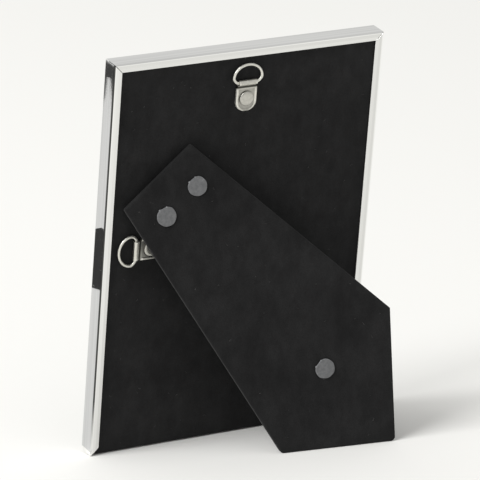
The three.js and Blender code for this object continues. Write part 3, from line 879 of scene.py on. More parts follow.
@dataclass(frozen=True)
class Nickel(Finish):
    """Warm satin nickel of the hangers, with rubbed rims."""

    tone: Color = (0.74, 0.725, 0.665)
    dark: Color = (0.60, 0.59, 0.54)
    bright: Color = (0.86, 0.85, 0.80)
    # Darkest painted shade of the straps, also mixed in a little as the rivets' plain darker tone.
    shade_and_tone_color: Color = (0.045, 0.044, 0.038)

    def dress(self, skin: Skin) -> dict[str, Signal]:
        """Clouded metal, brighter where it is rubbed."""
        clouds = skin.clouds(1.6, 0.18)
        hairs = skin.hairs(0.12, 1.0)
        color = skin.stain(clouds["Color"], skin.rub(0.8, 0.06), 0.7, self.bright)
        # Painted shade from the mesh attribute.
        color = skin.mix(skin.attribute(PAINTED_SHADE_AND_TONE), color, self.shade_and_tone_color)
        rough = skin.plus(skin.remap(clouds["Mask"], 0.0, 1.0, 0.42, 0.34), skin.times(hairs, 0.15))
        height = skin.plus(skin.grain(0.25, 4.0), skin.times(hairs, -0.6))
        normal = skin.bump(height, 0.12, 0.02)
        return {"Base_Color": color, "Metallic": 1.0, "Roughness": rough, "Normal": normal}


@dataclass(frozen=True)
class SatinSteel(Finish):
    """Brushed steel of the hinge, its pin and its small rivets, and of the corner angles."""

    tone: Color = (0.50, 0.50, 0.49)
    dark: Color = (0.34, 0.34, 0.335)
    bright: Color = (0.72, 0.72, 0.70)

    def dress(self, skin: Skin) -> dict[str, Signal]:
        """Brushed across, with clouded patches and rubbed edges."""
        lines = skin.lines(skin.here, 0.12, 8.0)
        clouds = skin.clouds(4.0, 0.2)["Color"]
        color = skin.stain(clouds, skin.rub(1.2, 0.08), 0.5, self.bright)
        rough = skin.remap(lines, 0.3, 0.7, 0.26, 0.42)
        normal = skin.bump(lines, 0.3, 0.01)
        return {"Base_Color": color, "Metallic": 1.0, "Roughness": rough, "Normal": normal}


@dataclass(frozen=True)
class GreyRivetMetal(Finish):
    """Flat grey coating of the leg's rivet heads, thin at their rims."""

    tone: Color = (0.150, 0.152, 0.157)
    dark: Color = (0.112, 0.114, 0.118)
    bright: Color = (0.30, 0.305, 0.31)
    hole: Color = (0.08, 0.08, 0.085)

    def dress(self, skin: Skin) -> dict[str, Signal]:
        """Uneven coat with pinholes and a lighter rim."""
        clouds = skin.clouds(1.3, 0.16)
        holes = skin.dots(0.8, 0.3, 0.3)
        color = skin.stain(clouds["Color"], skin.rub(0.7, 0.05), 0.45, self.bright)
        color = skin.stain(color, holes, 0.3, self.hole)
        height = skin.minus(skin.grain(0.3, 5.0), skin.times(holes, 0.5))
        normal = skin.bump(height, 0.35, 0.04)
        rough = skin.remap(clouds["Mask"], 0.0, 1.0, 0.62, 0.5)
        return {"Base_Color": color, "Metallic": 0.25, "Roughness": rough, "Normal": normal}


@dataclass(frozen=True)
class Velvet(Finish):
    """Black cotton velvet with brushed patches and a little dust."""

    tone: Color = (0.0185, 0.0185, 0.0188)
    dark: Color = (0.0098, 0.0098, 0.0101)
    dust: Color = (0.16, 0.155, 0.145)

    def dress(self, skin: Skin) -> dict[str, Signal]:
        """Pile and brushing set the colour, and the sheen stays plain."""
        scales = {"Tuft_Scale": per(0.32), "Brush_Scale": per(5.0)}
        pile = skin.effect(skin.effects.pile, **scales)
        brushed_and_shaded = skin.remap(pile["Brushed"], 0.0, 1.0, 0.86, 1.16)
        shade = skin.times(brushed_and_shaded, skin.remap(pile["Height"], 0.25, 0.85, 0.72, 1.3))
        shade = skin.add("ShaderNodeCombineColor", Red=shade, Green=shade, Blue=shade).outputs[0]
        color = skin.mix(1.0, skin.clouds(26.0, 0.22)["Color"], shade, "MULTIPLY")
        color = skin.stain(color, skin.dots(4.2, 0.045, 0.22), 0.7, self.dust)
        normal = skin.bump(pile["Height"], 0.45, 0.12)
        sheen = {"Sheen_Weight": 0.07, "Sheen_Roughness": 0.6, "Sheen_Tint": (0.62, 0.62, 0.62)}
        return {"Base_Color": color, "Roughness": 0.95, "Specular_IOR_Level": 0.06, "Normal": normal, **sheen}


@dataclass(frozen=True)
class LintFibre(Finish):
    """Pale lint caught in the velvet."""

    tone: Color = (0.20, 0.195, 0.185)
    dark: Color = (0.07, 0.07, 0.068)

    def dress(self, skin: Skin) -> dict[str, Signal]:
        """Each stretch of lint is a little paler or darker."""
        color = skin.clouds(9.0, 0.1)["Color"]
        return {"Base_Color": color, "Roughness": 0.9, "Specular_IOR_Level": 0.2}


@dataclass(frozen=True)
class LiningCloth(Finish):
    """Thin black cloth on the leg's inner face."""

    tone: Color = (0.017, 0.017, 0.018)
    dark: Color = (0.008, 0.008, 0.0085)
    dust: Color = (0.14, 0.135, 0.13)
    leg: Place = WORLD

    def dress(self, skin: Skin) -> dict[str, Signal]:
        """Plain weave, square to the leg."""
        level = skin.level(skin.here, self.leg)
        flat = skin.add("ShaderNodeCombineXYZ", X=level["X"], Y=level["Z"]).outputs[0]
        weave = skin.effect(skin.effects.weave, Vector=flat, Threads=per(0.45))["Height"]
        color = skin.mix(skin.remap(weave, 0.0, 1.0), self.dark, self.tone)
        color = skin.stain(color, skin.dots(5.0, 0.04, 0.2), 0.5, self.dust)
        normal = skin.bump(weave, 0.5, 0.06)
        return {"Base_Color": color, "Roughness": 0.85, "Specular_IOR_Level": 0.3, "Normal": normal}


@dataclass(frozen=True)
class WovenTape(Finish):
    """Black woven ribbon of the stay."""

    tone: Color = (0.020, 0.020, 0.022)
    dark: Color = (0.006, 0.006, 0.0065)

    def dress(self, skin: Skin) -> dict[str, Signal]:
        """Threads along and across the ribbon."""
        weave = skin.effect(skin.effects.weave, Vector=skin.run, Threads=per(0.5))["Height"]
        shade = skin.times(weave, skin.remap(skin.grain(3.0), 0.3, 0.7, 0.7, 1.0))
        color = skin.mix(shade, self.dark, self.tone)
        normal = skin.bump(weave, 0.6, 0.08)
        return {"Base_Color": color, "Roughness": 0.6, "Normal": normal, "Sheen_Weight": 0.1}


@dataclass(frozen=True)
class Greyboard(Finish):
    """Pressed board of the back, the leg and the filler."""

    tone: Color = (0.30, 0.265, 0.215)
    dark: Color = (0.20, 0.175, 0.145)
    fleck: Color = (0.09, 0.08, 0.07)

    def dress(self, skin: Skin) -> dict[str, Signal]:
        """Pulp with fibres and flecks."""
        clouds = skin.clouds(2.5, 0.2)["Color"]
        color = skin.stain(clouds, skin.dots(1.6, 0.2, 0.3), 0.6, self.fleck)
        normal = skin.bump(skin.grain(0.4, 5.0), 0.3, 0.05)
        return {"Base_Color": color, "Roughness": 0.9, "Normal": normal}


@dataclass(frozen=True)
class PrintPaper(Finish):
    """Blank insert behind the glass: a pale border round a plain field, graded up the sheet."""

    tone: Color = (0.56, 0.61, 0.64)
    dark: Color = (0.30, 0.34, 0.33)
    white: Color = (0.82, 0.81, 0.78)
    border: float = 9.0 * MM
    border_edge: float = 0.1 * MM
    back: Place = WORLD

    def dress(self, skin: Skin) -> dict[str, Signal]:
        """The field goes from dark to light, and the grain is that of card."""
        low, high = self.back.node_box("print")
        half, middle = (high - low) / 2, (high + low) / 2
        level = skin.level(skin.here, self.back)
        height = skin.minus(level["Z"], self.back.origin.dot(self.back.up) + middle.z)
        inside = []
        for signal, reach in ((level["X"], half.x), (height, half.z)):
            edge = reach - self.border
            inside.append(skin.remap(skin.math("ABSOLUTE", signal), edge - self.border_edge, edge, 1.0, 0.0))
        soft = skin.times(skin.grain(45.0), 0.03)
        graded = skin.remap(skin.plus(height, soft), -0.05, 0.05)
        color = skin.mix(skin.times(*inside), self.white, skin.mix(graded, self.dark, self.tone))
        normal = skin.bump(skin.grain(0.3, 4.0), 0.15, 0.02)
        return {"Base_Color": color, "Roughness": 0.55, "Normal": normal}


@dataclass(frozen=True)
class ClearGlass(Finish):
    """Thin picture glass with a trace of smear."""

    tone: Color = (0.97, 0.99, 0.98)
    dark: Color = (0.97, 0.99, 0.98)

    def dress(self, skin: Skin) -> dict[str, Signal]:
        """Only the roughness changes over the sheet."""
        smear = skin.remap(skin.grain(30.0, 4.0), 0.45, 0.75, 0.0, 0.02)
        rough = skin.plus(smear, skin.times(skin.hairs(0.8, 0.2), 0.05))
        return {"Base_Color": self.tone, "Roughness": rough, "Transmission_Weight": 1.0, "IOR": 1.5}


class Palette:
    """Every material of the frame, built once."""

    def __init__(self, stance: Stance) -> None:
        """Builds the materials for sub-assemblies that stand so."""
        effects = Effects()
        self.polished = PolishedSilver("polished_silver", effects).material()
        self.nickel = Nickel("warm_nickel", effects).material()
        self.steel = SatinSteel("satin_steel", effects).material()
        self.grey_rivet = GreyRivetMetal("grey_rivet_coat", effects).material()
        self.velvet = Velvet("black_velvet", effects).material()
        self.lint = LintFibre("pale_lint", effects).material()
        self.lining = LiningCloth("lining_cloth", effects, leg=stance.leg).material()
        self.tape = WovenTape("woven_tape", effects).material()
        self.board = Greyboard("greyboard", effects).material()
        self.paper = PrintPaper("blank_insert", effects, back=stance.back).material()
        self.glass = ClearGlass("picture_glass", effects).material()


# ---- Repeated pieces, by Geometry Nodes ----


class Repeater:
    """Geometry Nodes trees that set copies of a piece on points or scatter them over a face."""

    def __init__(self) -> None:
        """Builds both trees once."""
        self.row = self._set_on_points()
        self.scatter = self._scatter_on_faces()

    @staticmethod
    def _new_tree(name: str, **inputs: str) -> Group:
        """Starts a tree with the inputs that both have, and its own, by name with _ for a space."""
        own = {label.replace("_", " "): kind for label, kind in inputs.items()}
        shared = {"Geometry": GEOMETRY, "Piece": OBJECT, "Seed": INTEGER, "Finish": MATERIAL}
        return new_group(name, "GeometryNodeTree", {**shared, **own}, {"Geometry": GEOMETRY})

    @staticmethod
    def _random(group: Group, kind: str, low: Signal, high: Signal, seed: Signal) -> NodeSocket:
        """Output of a Random Value node.

        Args:
            group: The tree.
            kind: FLOAT or FLOAT_VECTOR.
            low: Least value.
            high: Greatest value.
            seed: Seed of the values.

        Returns:
            The value's socket.
        """
        value = group.add("FunctionNodeRandomValue", {"data_type": kind}, Seed=seed)
        first, output = (0, 0) if kind == "FLOAT_VECTOR" else (2, 1)
        group.feed(value.inputs[first], low)
        group.feed(value.inputs[first + 1], high)
        return value.outputs[output]

    def _place_copies(
        self, group: Group, points: Signal, facing: Signal, size: Signal, axis: str, turns: Sequence[Signal]
    ) -> NodeTree:
        """Sets the copies, turns each a little, realizes them, gives them their material and closes the tree.

        Args:
            group: The tree.
            points: Points that take the copies.
            facing: Rotation of the piece's frame.
            size: Size of each copy.
            axis: The piece's axis, X, Y or Z, that it turns about.
            turns: Least and greatest turn, in radians.

        Returns:
            The tree, ready for a modifier.
        """
        as_drawn = {"transform_space": "ORIGINAL"}
        piece = group.add("GeometryNodeObjectInfo", as_drawn, Object=group.given["Piece"]).outputs["Geometry"]
        signals = {"Points": points, "Instance": piece, "Rotation": facing, "Scale": size}
        copies = group.add("GeometryNodeInstanceOnPoints", **signals).outputs[0]
        turn = self._random(group, "FLOAT", *turns, group.plus(group.given["Seed"], 1.0))
        about = group.add("ShaderNodeCombineXYZ", **{axis: turn}).outputs[0]
        turned = group.add("GeometryNodeRotateInstances", Instances=copies, Rotation=about).outputs[0]
        solid = group.add("GeometryNodeRealizeInstances", Geometry=turned).outputs[0]
        dressed = group.add("GeometryNodeSetMaterial", Geometry=solid, Material=group.given["Finish"])
        group.tree.is_modifier = True
        return group.give(Geometry=dressed.outputs[0])

    def _set_on_points(self) -> NodeTree:
        """One copy on each point, turned to the piece's frame and a little about its own y."""
        group = self._new_tree("set_on_points", Frame=VECTOR, Turn_Spread=FLOAT, Size_Spread=FLOAT)
        given = group.given
        size = self._random(group, "FLOAT", group.minus(1.0, given["Size Spread"]), 1.0, given["Seed"])
        turns = group.times(given["Turn Spread"], -1.0), given["Turn Spread"]
        return self._place_copies(group, given["Geometry"], given["Frame"], size, "Y", turns)

    def _scatter_on_faces(self) -> NodeTree:
        """Copies scattered at random over the faces, lying flat and turned every way."""
        group = self._new_tree("scatter_on_faces", Per_Square_Metre=FLOAT, Smallest=FLOAT)
        given = group.given
        signals = {"Mesh": given["Geometry"], "Density": given["Per Square Metre"], "Seed": given["Seed"]}
        points = group.add("GeometryNodeDistributePointsOnFaces", **signals).outputs
        least = group.add("ShaderNodeCombineXYZ", X=given["Smallest"], Y=given["Smallest"], Z=1.0).outputs[0]
        size = self._random(group, "FLOAT_VECTOR", least, (1.0, 1.0, 1.0), given["Seed"])
        turns = 0.0, 2 * math.pi
        return self._place_copies(group, points["Points"], points["Rotation"], size, "Z", turns)

    @staticmethod
    def bake(
        name: str, tree: NodeTree, carrier: Mesh, sample: Mesh, **inputs: object
    ) -> Mesh:
        """Runs a tree on a carrier mesh and keeps its result as a plain mesh.

        Args:
            name: Name of the result.
            tree: The Geometry Nodes tree.
            carrier: Mesh whose points or faces take the copies.
            sample: Mesh of the piece that is copied.
            **inputs: The tree's other inputs, by name with _ for a space.

        Returns:
            The mesh of all the copies.
        """
        holder = new_object(f"{name}_carrier", carrier)
        original = new_object(f"{name}_sample", sample)
        modifier = holder.modifiers.new("copies", "NODES")
        modifier.node_group = tree
        sockets = {item.name: item.identifier for item in tree.interface.items_tree if item.in_out == "INPUT"}
        for label, value in {"Piece": original, **inputs}.items():
            modifier[sockets[label.replace("_", " ")]] = value
        graph = bpy.context.evaluated_depsgraph_get()
        data = bpy.data.meshes.new_from_object(holder.evaluated_get(graph), depsgraph=graph)
        data.name = name
        holder.modifiers.remove(modifier)
        for helper in (holder, original):
            bpy.data.objects.remove(helper)
        return data

    def on_points(
        self,
        name: str,
        place: Place,
        points: Sequence[Vector],
        sample: Mesh,
        look: Material,
        turn_spread: float = 0.0,
        size_spread: float = 0.0,
        seed: int = 1,
    ) -> Mesh:
        """Copies of a piece at local points of a Place.

        Args:
            name: Name of the mesh.
            place: Frame of the points, and of each copy.
            points: Local points.
            sample: The piece, drawn at the world's origin with local axes.
            look: Material of the copies.
            turn_spread: Most that a copy turns about its y, in radians.
            size_spread: Most that a copy is smaller than the piece, as a share.
            seed: Seed of the turns and sizes.

        Returns:
            The mesh of the copies, in world place.
        """
        carrier = bpy.data.meshes.new(f"{name}_points")
        carrier.from_pydata([place.at(*point) for point in points], [], [])
        spreads = {"Turn_Spread": turn_spread, "Size_Spread": size_spread, "Seed": seed}
        turn = Vector(place.matrix.to_euler())
        data = self.bake(name, self.row, carrier, sample, Frame=turn, Finish=look, **spreads)
        shade(data)
        return data

    def over_face(
        self, name: str, corners: Sequence[Vector], sample: Mesh, look: Material, **inputs: object
    ) -> Mesh:
        """Copies of a piece scattered over a flat face.

        Args:
            name: Name of the mesh.
            corners: World points of the face, in the order that turns it outwards.
            sample: The piece, drawn flat in world x and y about the origin.
            look: Material of the copies.
            **inputs: The scatter tree's density, smallest size and seed.

        Returns:
            The mesh of the copies, in world place.
        """
        carrier = bpy.data.meshes.new(f"{name}_face")
        carrier.from_pydata(corners, [], [list(range(len(corners)))])
        return self.bake(name, self.scatter, carrier, sample, Finish=look, **inputs)


@dataclass
class Lint:
    """Short curled fibres caught in the velvet."""

    length: float = 1.5 * MM
    thickness: float = 0.035 * MM
    curl: float = 1.9
    steps: int = 5
    sides: int = 3

    def fibre(self) -> Mesh:
        """One fibre, lying in the world's x and y."""
        radius = self.length / self.curl
        rings = []
        for share in shares(self.steps):
            angle = self.curl * (share - 0.5)
            outward = Vector((math.sin(angle), math.cos(angle), 0.0))
            centre = outward * radius - Vector((0.0, radius, 0.0))
            spokes = [outward * cosine + WORLD.up * sine for cosine, sine in circle(self.sides)]
            rings.append([centre + spoke * self.thickness for spoke in spokes])
        draft = Draft(WORLD)
        draft.loft(rings)
        return draft.to_mesh("lint_fibre", 180.0)


# ---- Rails ----


@dataclass
class Rails:
    """Four mitred rails folded from polished sheet: a front flange, a wall and a crowned back lip."""

    place: Place
    look: Material
    wall: float = 0.9 * MM
    bezel: float = 6.4 * MM
    lip: float = 3.8 * MM
    crown: float = 0.13 * MM
    back_fold: float = 0.64 * MM
    front_fold: float = 0.5 * MM
    crown_round: float = 0.4 * MM
    edge_round: float = 0.3 * MM
    lip_round: float = 0.25 * MM
    inner_round: float = 0.2 * MM
    lip_inner_round: float = 0.15 * MM
    bezel_inner_round: float = 0.1 * MM
    trim: float = 0.12 * MM
    chamfer: float = 0.06 * MM
    steps: int = 28

    # Each rail's painted reflections, 0 to 1: how dark the painted line in its back fold is, and how much the
    # outer half of its lip is brushed and takes a painted darker tone.
    PAINTED_REFLECTIONS_AND_BRUSHING = {
        "rail_left": (0.04, 0.95),
        "rail_top": (0.1, 0.85),
        "rail_right": (1.0, 0.42),
        "rail_bottom": (0.1, 0.0),
    }

    def __post_init__(self) -> None:
        """Reads the outer size of the frame from its rails."""
        low, _ = self.place.node_box("rail_left")
        _, high = self.place.node_box("rail_right")
        self.left = low.x
        self.width, self.depth, self.height = high - low
        self.short_depth = self.place.node_box("rail_bottom")[1].y + self.depth

    def section(self, has_lip: bool) -> list[Vector]:
        """Closed section as (in from the outer face, back from the front face)."""
        wall, edge, back = self.wall, self.depth - self.crown, self.short_depth
        corners = [
            (self.bezel, wall, self.bezel_inner_round),
            (self.bezel, 0.0, self.edge_round),
            (0.0, 0.0, self.front_fold),
        ]
        if has_lip:
            corners += [
                (0.0, edge, self.back_fold),
                (self.lip / 2, self.depth, self.crown_round),
                (self.lip, edge, self.lip_round),
                (self.lip, edge - wall, self.lip_inner_round),
                (wall, edge - wall, self.inner_round),
            ]
        else:
            corners += [(0.0, back, self.edge_round), (wall, back, self.edge_round)]
        corners.append((wall, wall, self.inner_round))
        return rounded([Vector(corner[:2]) for corner in corners], [corner[2] for corner in corners], 7)

    def rail(self, name: str, length: float, place: Place) -> None:
        """One rail along the place's z, its outer face at x = 0 and its front at y = 0.

        Args:
            name: Name of the rail.
            length: Length over its outer corners.
            place: Frame of the rail, at one outer corner.
        """
        section = self.section(name != "rail_bottom")
        trimmed = inset(section, -self.chamfer if signed_area(section) < 0 else self.chamfer)
        cuts = ((trimmed, self.trim), (section, self.trim + self.chamfer))
        start_cap, start = [[Vector((p.x, p.y, p.x + cut)) for p in outline] for outline, cut in cuts]
        end_cap, end = [[Vector((p.x, p.y, length - (p.x + cut))) for p in outline] for outline, cut in cuts]
        between = [[a.lerp(b, share) for a, b in zip(start, end)] for share in shares(self.steps)]
        draft = Draft(place)
        draft.loft([start_cap, *between, end_cap])
        data = draft.to_mesh(name)
        # Each rail's painted fold reflection line, and its lip's brushing with painted darker tone.
        for attribute, value in zip((PAINTED_SHADE_AND_TONE, BRUSHING_AND_LIP_SHADE), self.PAINTED_REFLECTIONS_AND_BRUSHING[name]):
            paint(data, attribute, [value] * len(data.vertices))
        settle(name, data, self.look, Body.FRAME, [name])

    def build(self) -> None:
        """Builds the four rails, each a quarter turn from the last."""
        place, across, out, up = self.place, self.place.across, self.place.out, self.place.up
        left = place.moved(x=self.left, y=-self.depth)
        self.rail("rail_left", self.height, left)
        self.rail("rail_top", self.width, Place(left.at(z=self.height), -up, out, across))
        self.rail("rail_right", self.height, Place(left.at(self.width, 0.0, self.height), -across, out, -up))
        self.rail("rail_bottom", self.width, Place(left.at(self.width), up, out, -across))


# ---- Velvet covers ----


@dataclass
class Cover:
    """Velvet drawn over a board: a slightly uneven skin with soft edges, dimpled at its rivets."""

    name: str
    place: Place
    body: Body
    look: Material
    dents: Sequence[tuple[Vector, float]]  # middle and radius of each
    corner_round: float = 0.8 * MM
    foot_round: float = 2.0 * MM
    foot_level: float = -math.inf
    skin: float = 0.4 * MM
    edge: float = 0.7 * MM
    spacing: float = 1.5 * MM
    inner_rings: int = 44
    crowding: float = 0.85
    dent_depth: float = 0.16 * MM
    dent_floor: float = 0.9
    dent_spread: float = 0.18
    unevenness: float = 0.05 * MM
    waves: tuple[float, float, float] = (61.0 * MM, 37.0 * MM, 23.0 * MM)
    lint_margin: float = 3.0 * MM
    least_lint: float = 0.35
    seed: int = 3

    def __post_init__(self) -> None:
        """Reads the outline and the depths from the CAD cover."""
        self.corners = long_sided(self.place.node_points(self.name))
        radii = [self.foot_round if spot.y < self.foot_level else self.corner_round for spot in self.corners]
        self.outline = evenly(rounded(self.corners, radii, 8), self.spacing)
        low, high = self.place.node_box(self.name)
        self.inner, self.outer = low.y, high.y
        source = random.Random(self.seed)
        self.phases = [source.uniform(0, 2 * math.pi) for _ in range(2 * len(self.waves))]

    def unevenness_at(self, x: float, z: float) -> float:
        """How far the board and its cloth stand off flat: three slow waves."""
        total = 0.0
        for wavelength, first, second in zip(self.waves, self.phases[::2], self.phases[1::2]):
            turn = 2 * math.pi / wavelength
            total += math.sin(turn * x + first) * math.cos(turn * z + second)
        return self.unevenness * total / len(self.waves)

    def dent_at(self, x: float, z: float) -> float:
        """How far the cloth is pulled down by the rivets nearby."""
        depth = 0.0
        for middle, radius in self.dents:
            away = math.hypot(x - middle.x, z - middle.z) / radius
            depth = max(depth, math.exp(-max(0.0, away - self.dent_floor) ** 2 / self.dent_spread))
        return self.dent_depth * depth

    def build(self) -> None:
        """Builds the cover as one closed skin with its inside over the board."""
        centre = sum(self.outline, Vector((0.0, 0.0))) / len(self.outline)
        flat_edge = inset(self.outline, self.edge + HOLD)
        levels = []
        for share in shares(self.inner_rings):
            levels.append(([centre.lerp(point, share ** self.crowding) for point in flat_edge], self.outer))
        for share in shares(8):
            angle = share * math.pi / 2
            ring = inset(self.outline, self.edge * (1 - math.sin(angle)))
            levels.append((ring, self.outer - self.edge * (1 - math.cos(angle))))
        for share in shares(6):
            angle = share * math.pi
            ring = inset(self.outline, self.skin / 2 * (1 - math.cos(angle)))
            levels.append((ring, self.inner + self.skin / 2 * (1 - math.sin(angle))))
        inside = inset(self.outline, self.skin)
        levels += [(inside, self.outer - self.skin), ([centre] * len(inside), self.outer - self.skin)]
        draft = Draft(self.place)
        draft.loft([[flat_point(point, y) for point in ring] for ring, y in levels], caps=False)
        draft.shift(self.sink)
        data = draft.to_mesh(self.name, 60.0)
        settle(self.name, data, self.look, self.body, [self.name])

    def sink(self, point: Vector) -> Vector:
        """Displacement of a point: that of the outer face, less and less down the edge."""
        share = max(0.0, 1 - (self.outer - point.y) / self.edge)
        x, _, z = point
        return Vector((0.0, share * (self.unevenness_at(x, z) - self.dent_at(x, z)), 0.0))

    def lint(self, repeater: Repeater, look: Material, density: float, seed: int) -> None:
        """Scatters lint over the outer face.

        Args:
            repeater: The Geometry Nodes trees.
            look: Material of the lint.
            density: Fibres for each square metre.
            seed: Seed of the scatter.
        """
        name = f"{self.name}_lint"
        level = self.outer + Lint.thickness / 2 + self.unevenness
        edge = inset(self.corners, self.lint_margin)
        corners = [self.place.at(*flat_point(point, level)) for point in reversed(edge)]
        spread = {"Per_Square_Metre": density, "Smallest": self.least_lint, "Seed": seed}
        data = repeater.over_face(name, corners, Lint().fibre(), look, **spread)
        settle(name, data, None, self.body)


# ---- Rivets ----


SHANK = 1.4 * MM


@dataclass(frozen=True)
class RivetShape:
    """Sizes of a rivet: a head over y = 0 and a shank below it."""

    head_radius: float
    head_height: float
    edge: float
    shank_length: float
    flatness: float = 0.6
    tip_taper: float = 0.8
    tip_length: float = 0.2 * MM
    under_width: float = 0.15 * MM
    under_height: float = 0.1 * MM
    short_of: float = 0.0  # how much the shank is cut back

    def profile(self, steps: int = 7) -> list[Vector]:
        """Profile as (distance from the axis, y), from the end of the shank to the crown."""
        head, end = self.head_radius, self.short_of - self.shank_length
        points = [(0.0, end), (SHANK * self.tip_taper, end), (SHANK, end + self.tip_length), (SHANK, 0.0)]
        points += [(head - self.under_width, 0.0), (head, self.under_height), (head, self.edge * 0.7)]
        rise = self.head_height - self.edge
        for share in shares(steps):
            angle = share * math.pi / 2
            x = head * (1 - (1 - self.flatness) * (1 - math.cos(angle)))
            points.append((x - self.edge * 0.15 * math.sin(angle), self.edge + rise * math.sin(angle)))
        points += [(points[-1][0] * 0.5, self.head_height + rise * 0.04), (0.0, self.head_height + rise * 0.05)]
        return [Vector(point) for point in points]

    @classmethod
    def fitted(cls, place: Place, node: str, base: float, edge: float, **rest: float) -> "RivetShape":
        """The rivet of a CAD node, with its head on a level of a Place."""
        low, high = place.node_box(node)
        return cls((high.x - low.x) / 2, high.y - base, edge, base - low.y, **rest)

    def sample(self, name: str, steps: int) -> Mesh:
        """The rivet drawn round, at the world's origin."""
        draft = Draft(WORLD)
        draft.lathe(self.profile(), steps)
        return draft.to_mesh(name, 50.0)


@dataclass
class FlatDisc:
    """Flat rivet head of the leg: slightly out of round, with a flat cut between two small burrs."""

    shape: RivetShape
    flat_at: float
    flat_depth: float = 0.36 * MM
    flat_reach: float = 1.0
    burr_radius: float = 0.62 * MM
    burr_height: float = 0.2 * MM
    burr_sides: int = 14
    waves: tuple[tuple[float, int, float], ...] = ((0.013, 3, 0.6), (0.009, 7, 2.0))  # size, number and start
    steps: int = 96

    def factor(self, angle: float) -> float:
        """Radius at an angle, as a share of the head's radius."""
        wobble = 1 + sum(size * math.sin(number * angle + start) for size, number, start in self.waves)
        away = (angle - self.flat_at + math.pi) % (2 * math.pi) - math.pi
        chord = (1 - self.flat_depth / self.shape.head_radius) / max(0.2, math.cos(away))
        return min(wobble, chord) if abs(away) < self.flat_reach else wobble

    def sample(self) -> Mesh:
        """The rivet drawn at the world's origin."""
        draft = Draft(WORLD)
        draft.lathe(self.shape.profile(), self.steps, self.factor)
        half = math.acos(1 - self.flat_depth / self.shape.head_radius)
        reach = self.shape.head_radius - self.burr_radius * 0.55
        for side, size in ((-1, 1.0), (1, 0.8)):
            angle = self.flat_at + side * (half + 0.02)
            middle = Vector((math.cos(angle) * reach, 0.0, math.sin(angle) * reach))
            self._burr(draft, middle, self.burr_radius * size)
        return draft.to_mesh("disc_rivet", 50.0)

    def _burr(self, draft: Draft, middle: Vector, radius: float) -> None:
        """A small dome of squeezed metal on the rim of the head."""
        base = self.shape.edge * 0.4
        rise = self.shape.head_height + self.burr_height - base
        rings = [[middle + Vector((0.0, base, 0.0))] * self.burr_sides]
        for share in shares(6):
            angle = share * math.pi / 2
            width = radius * math.cos(angle) if share < 1 else 0.0
            y = base + rise * math.sin(angle)
            rings.append([middle + Vector((width * c, y, width * s)) for c, s in circle(self.burr_sides)])
        draft.loft(rings, caps=False)


# ---- Ring hangers ----


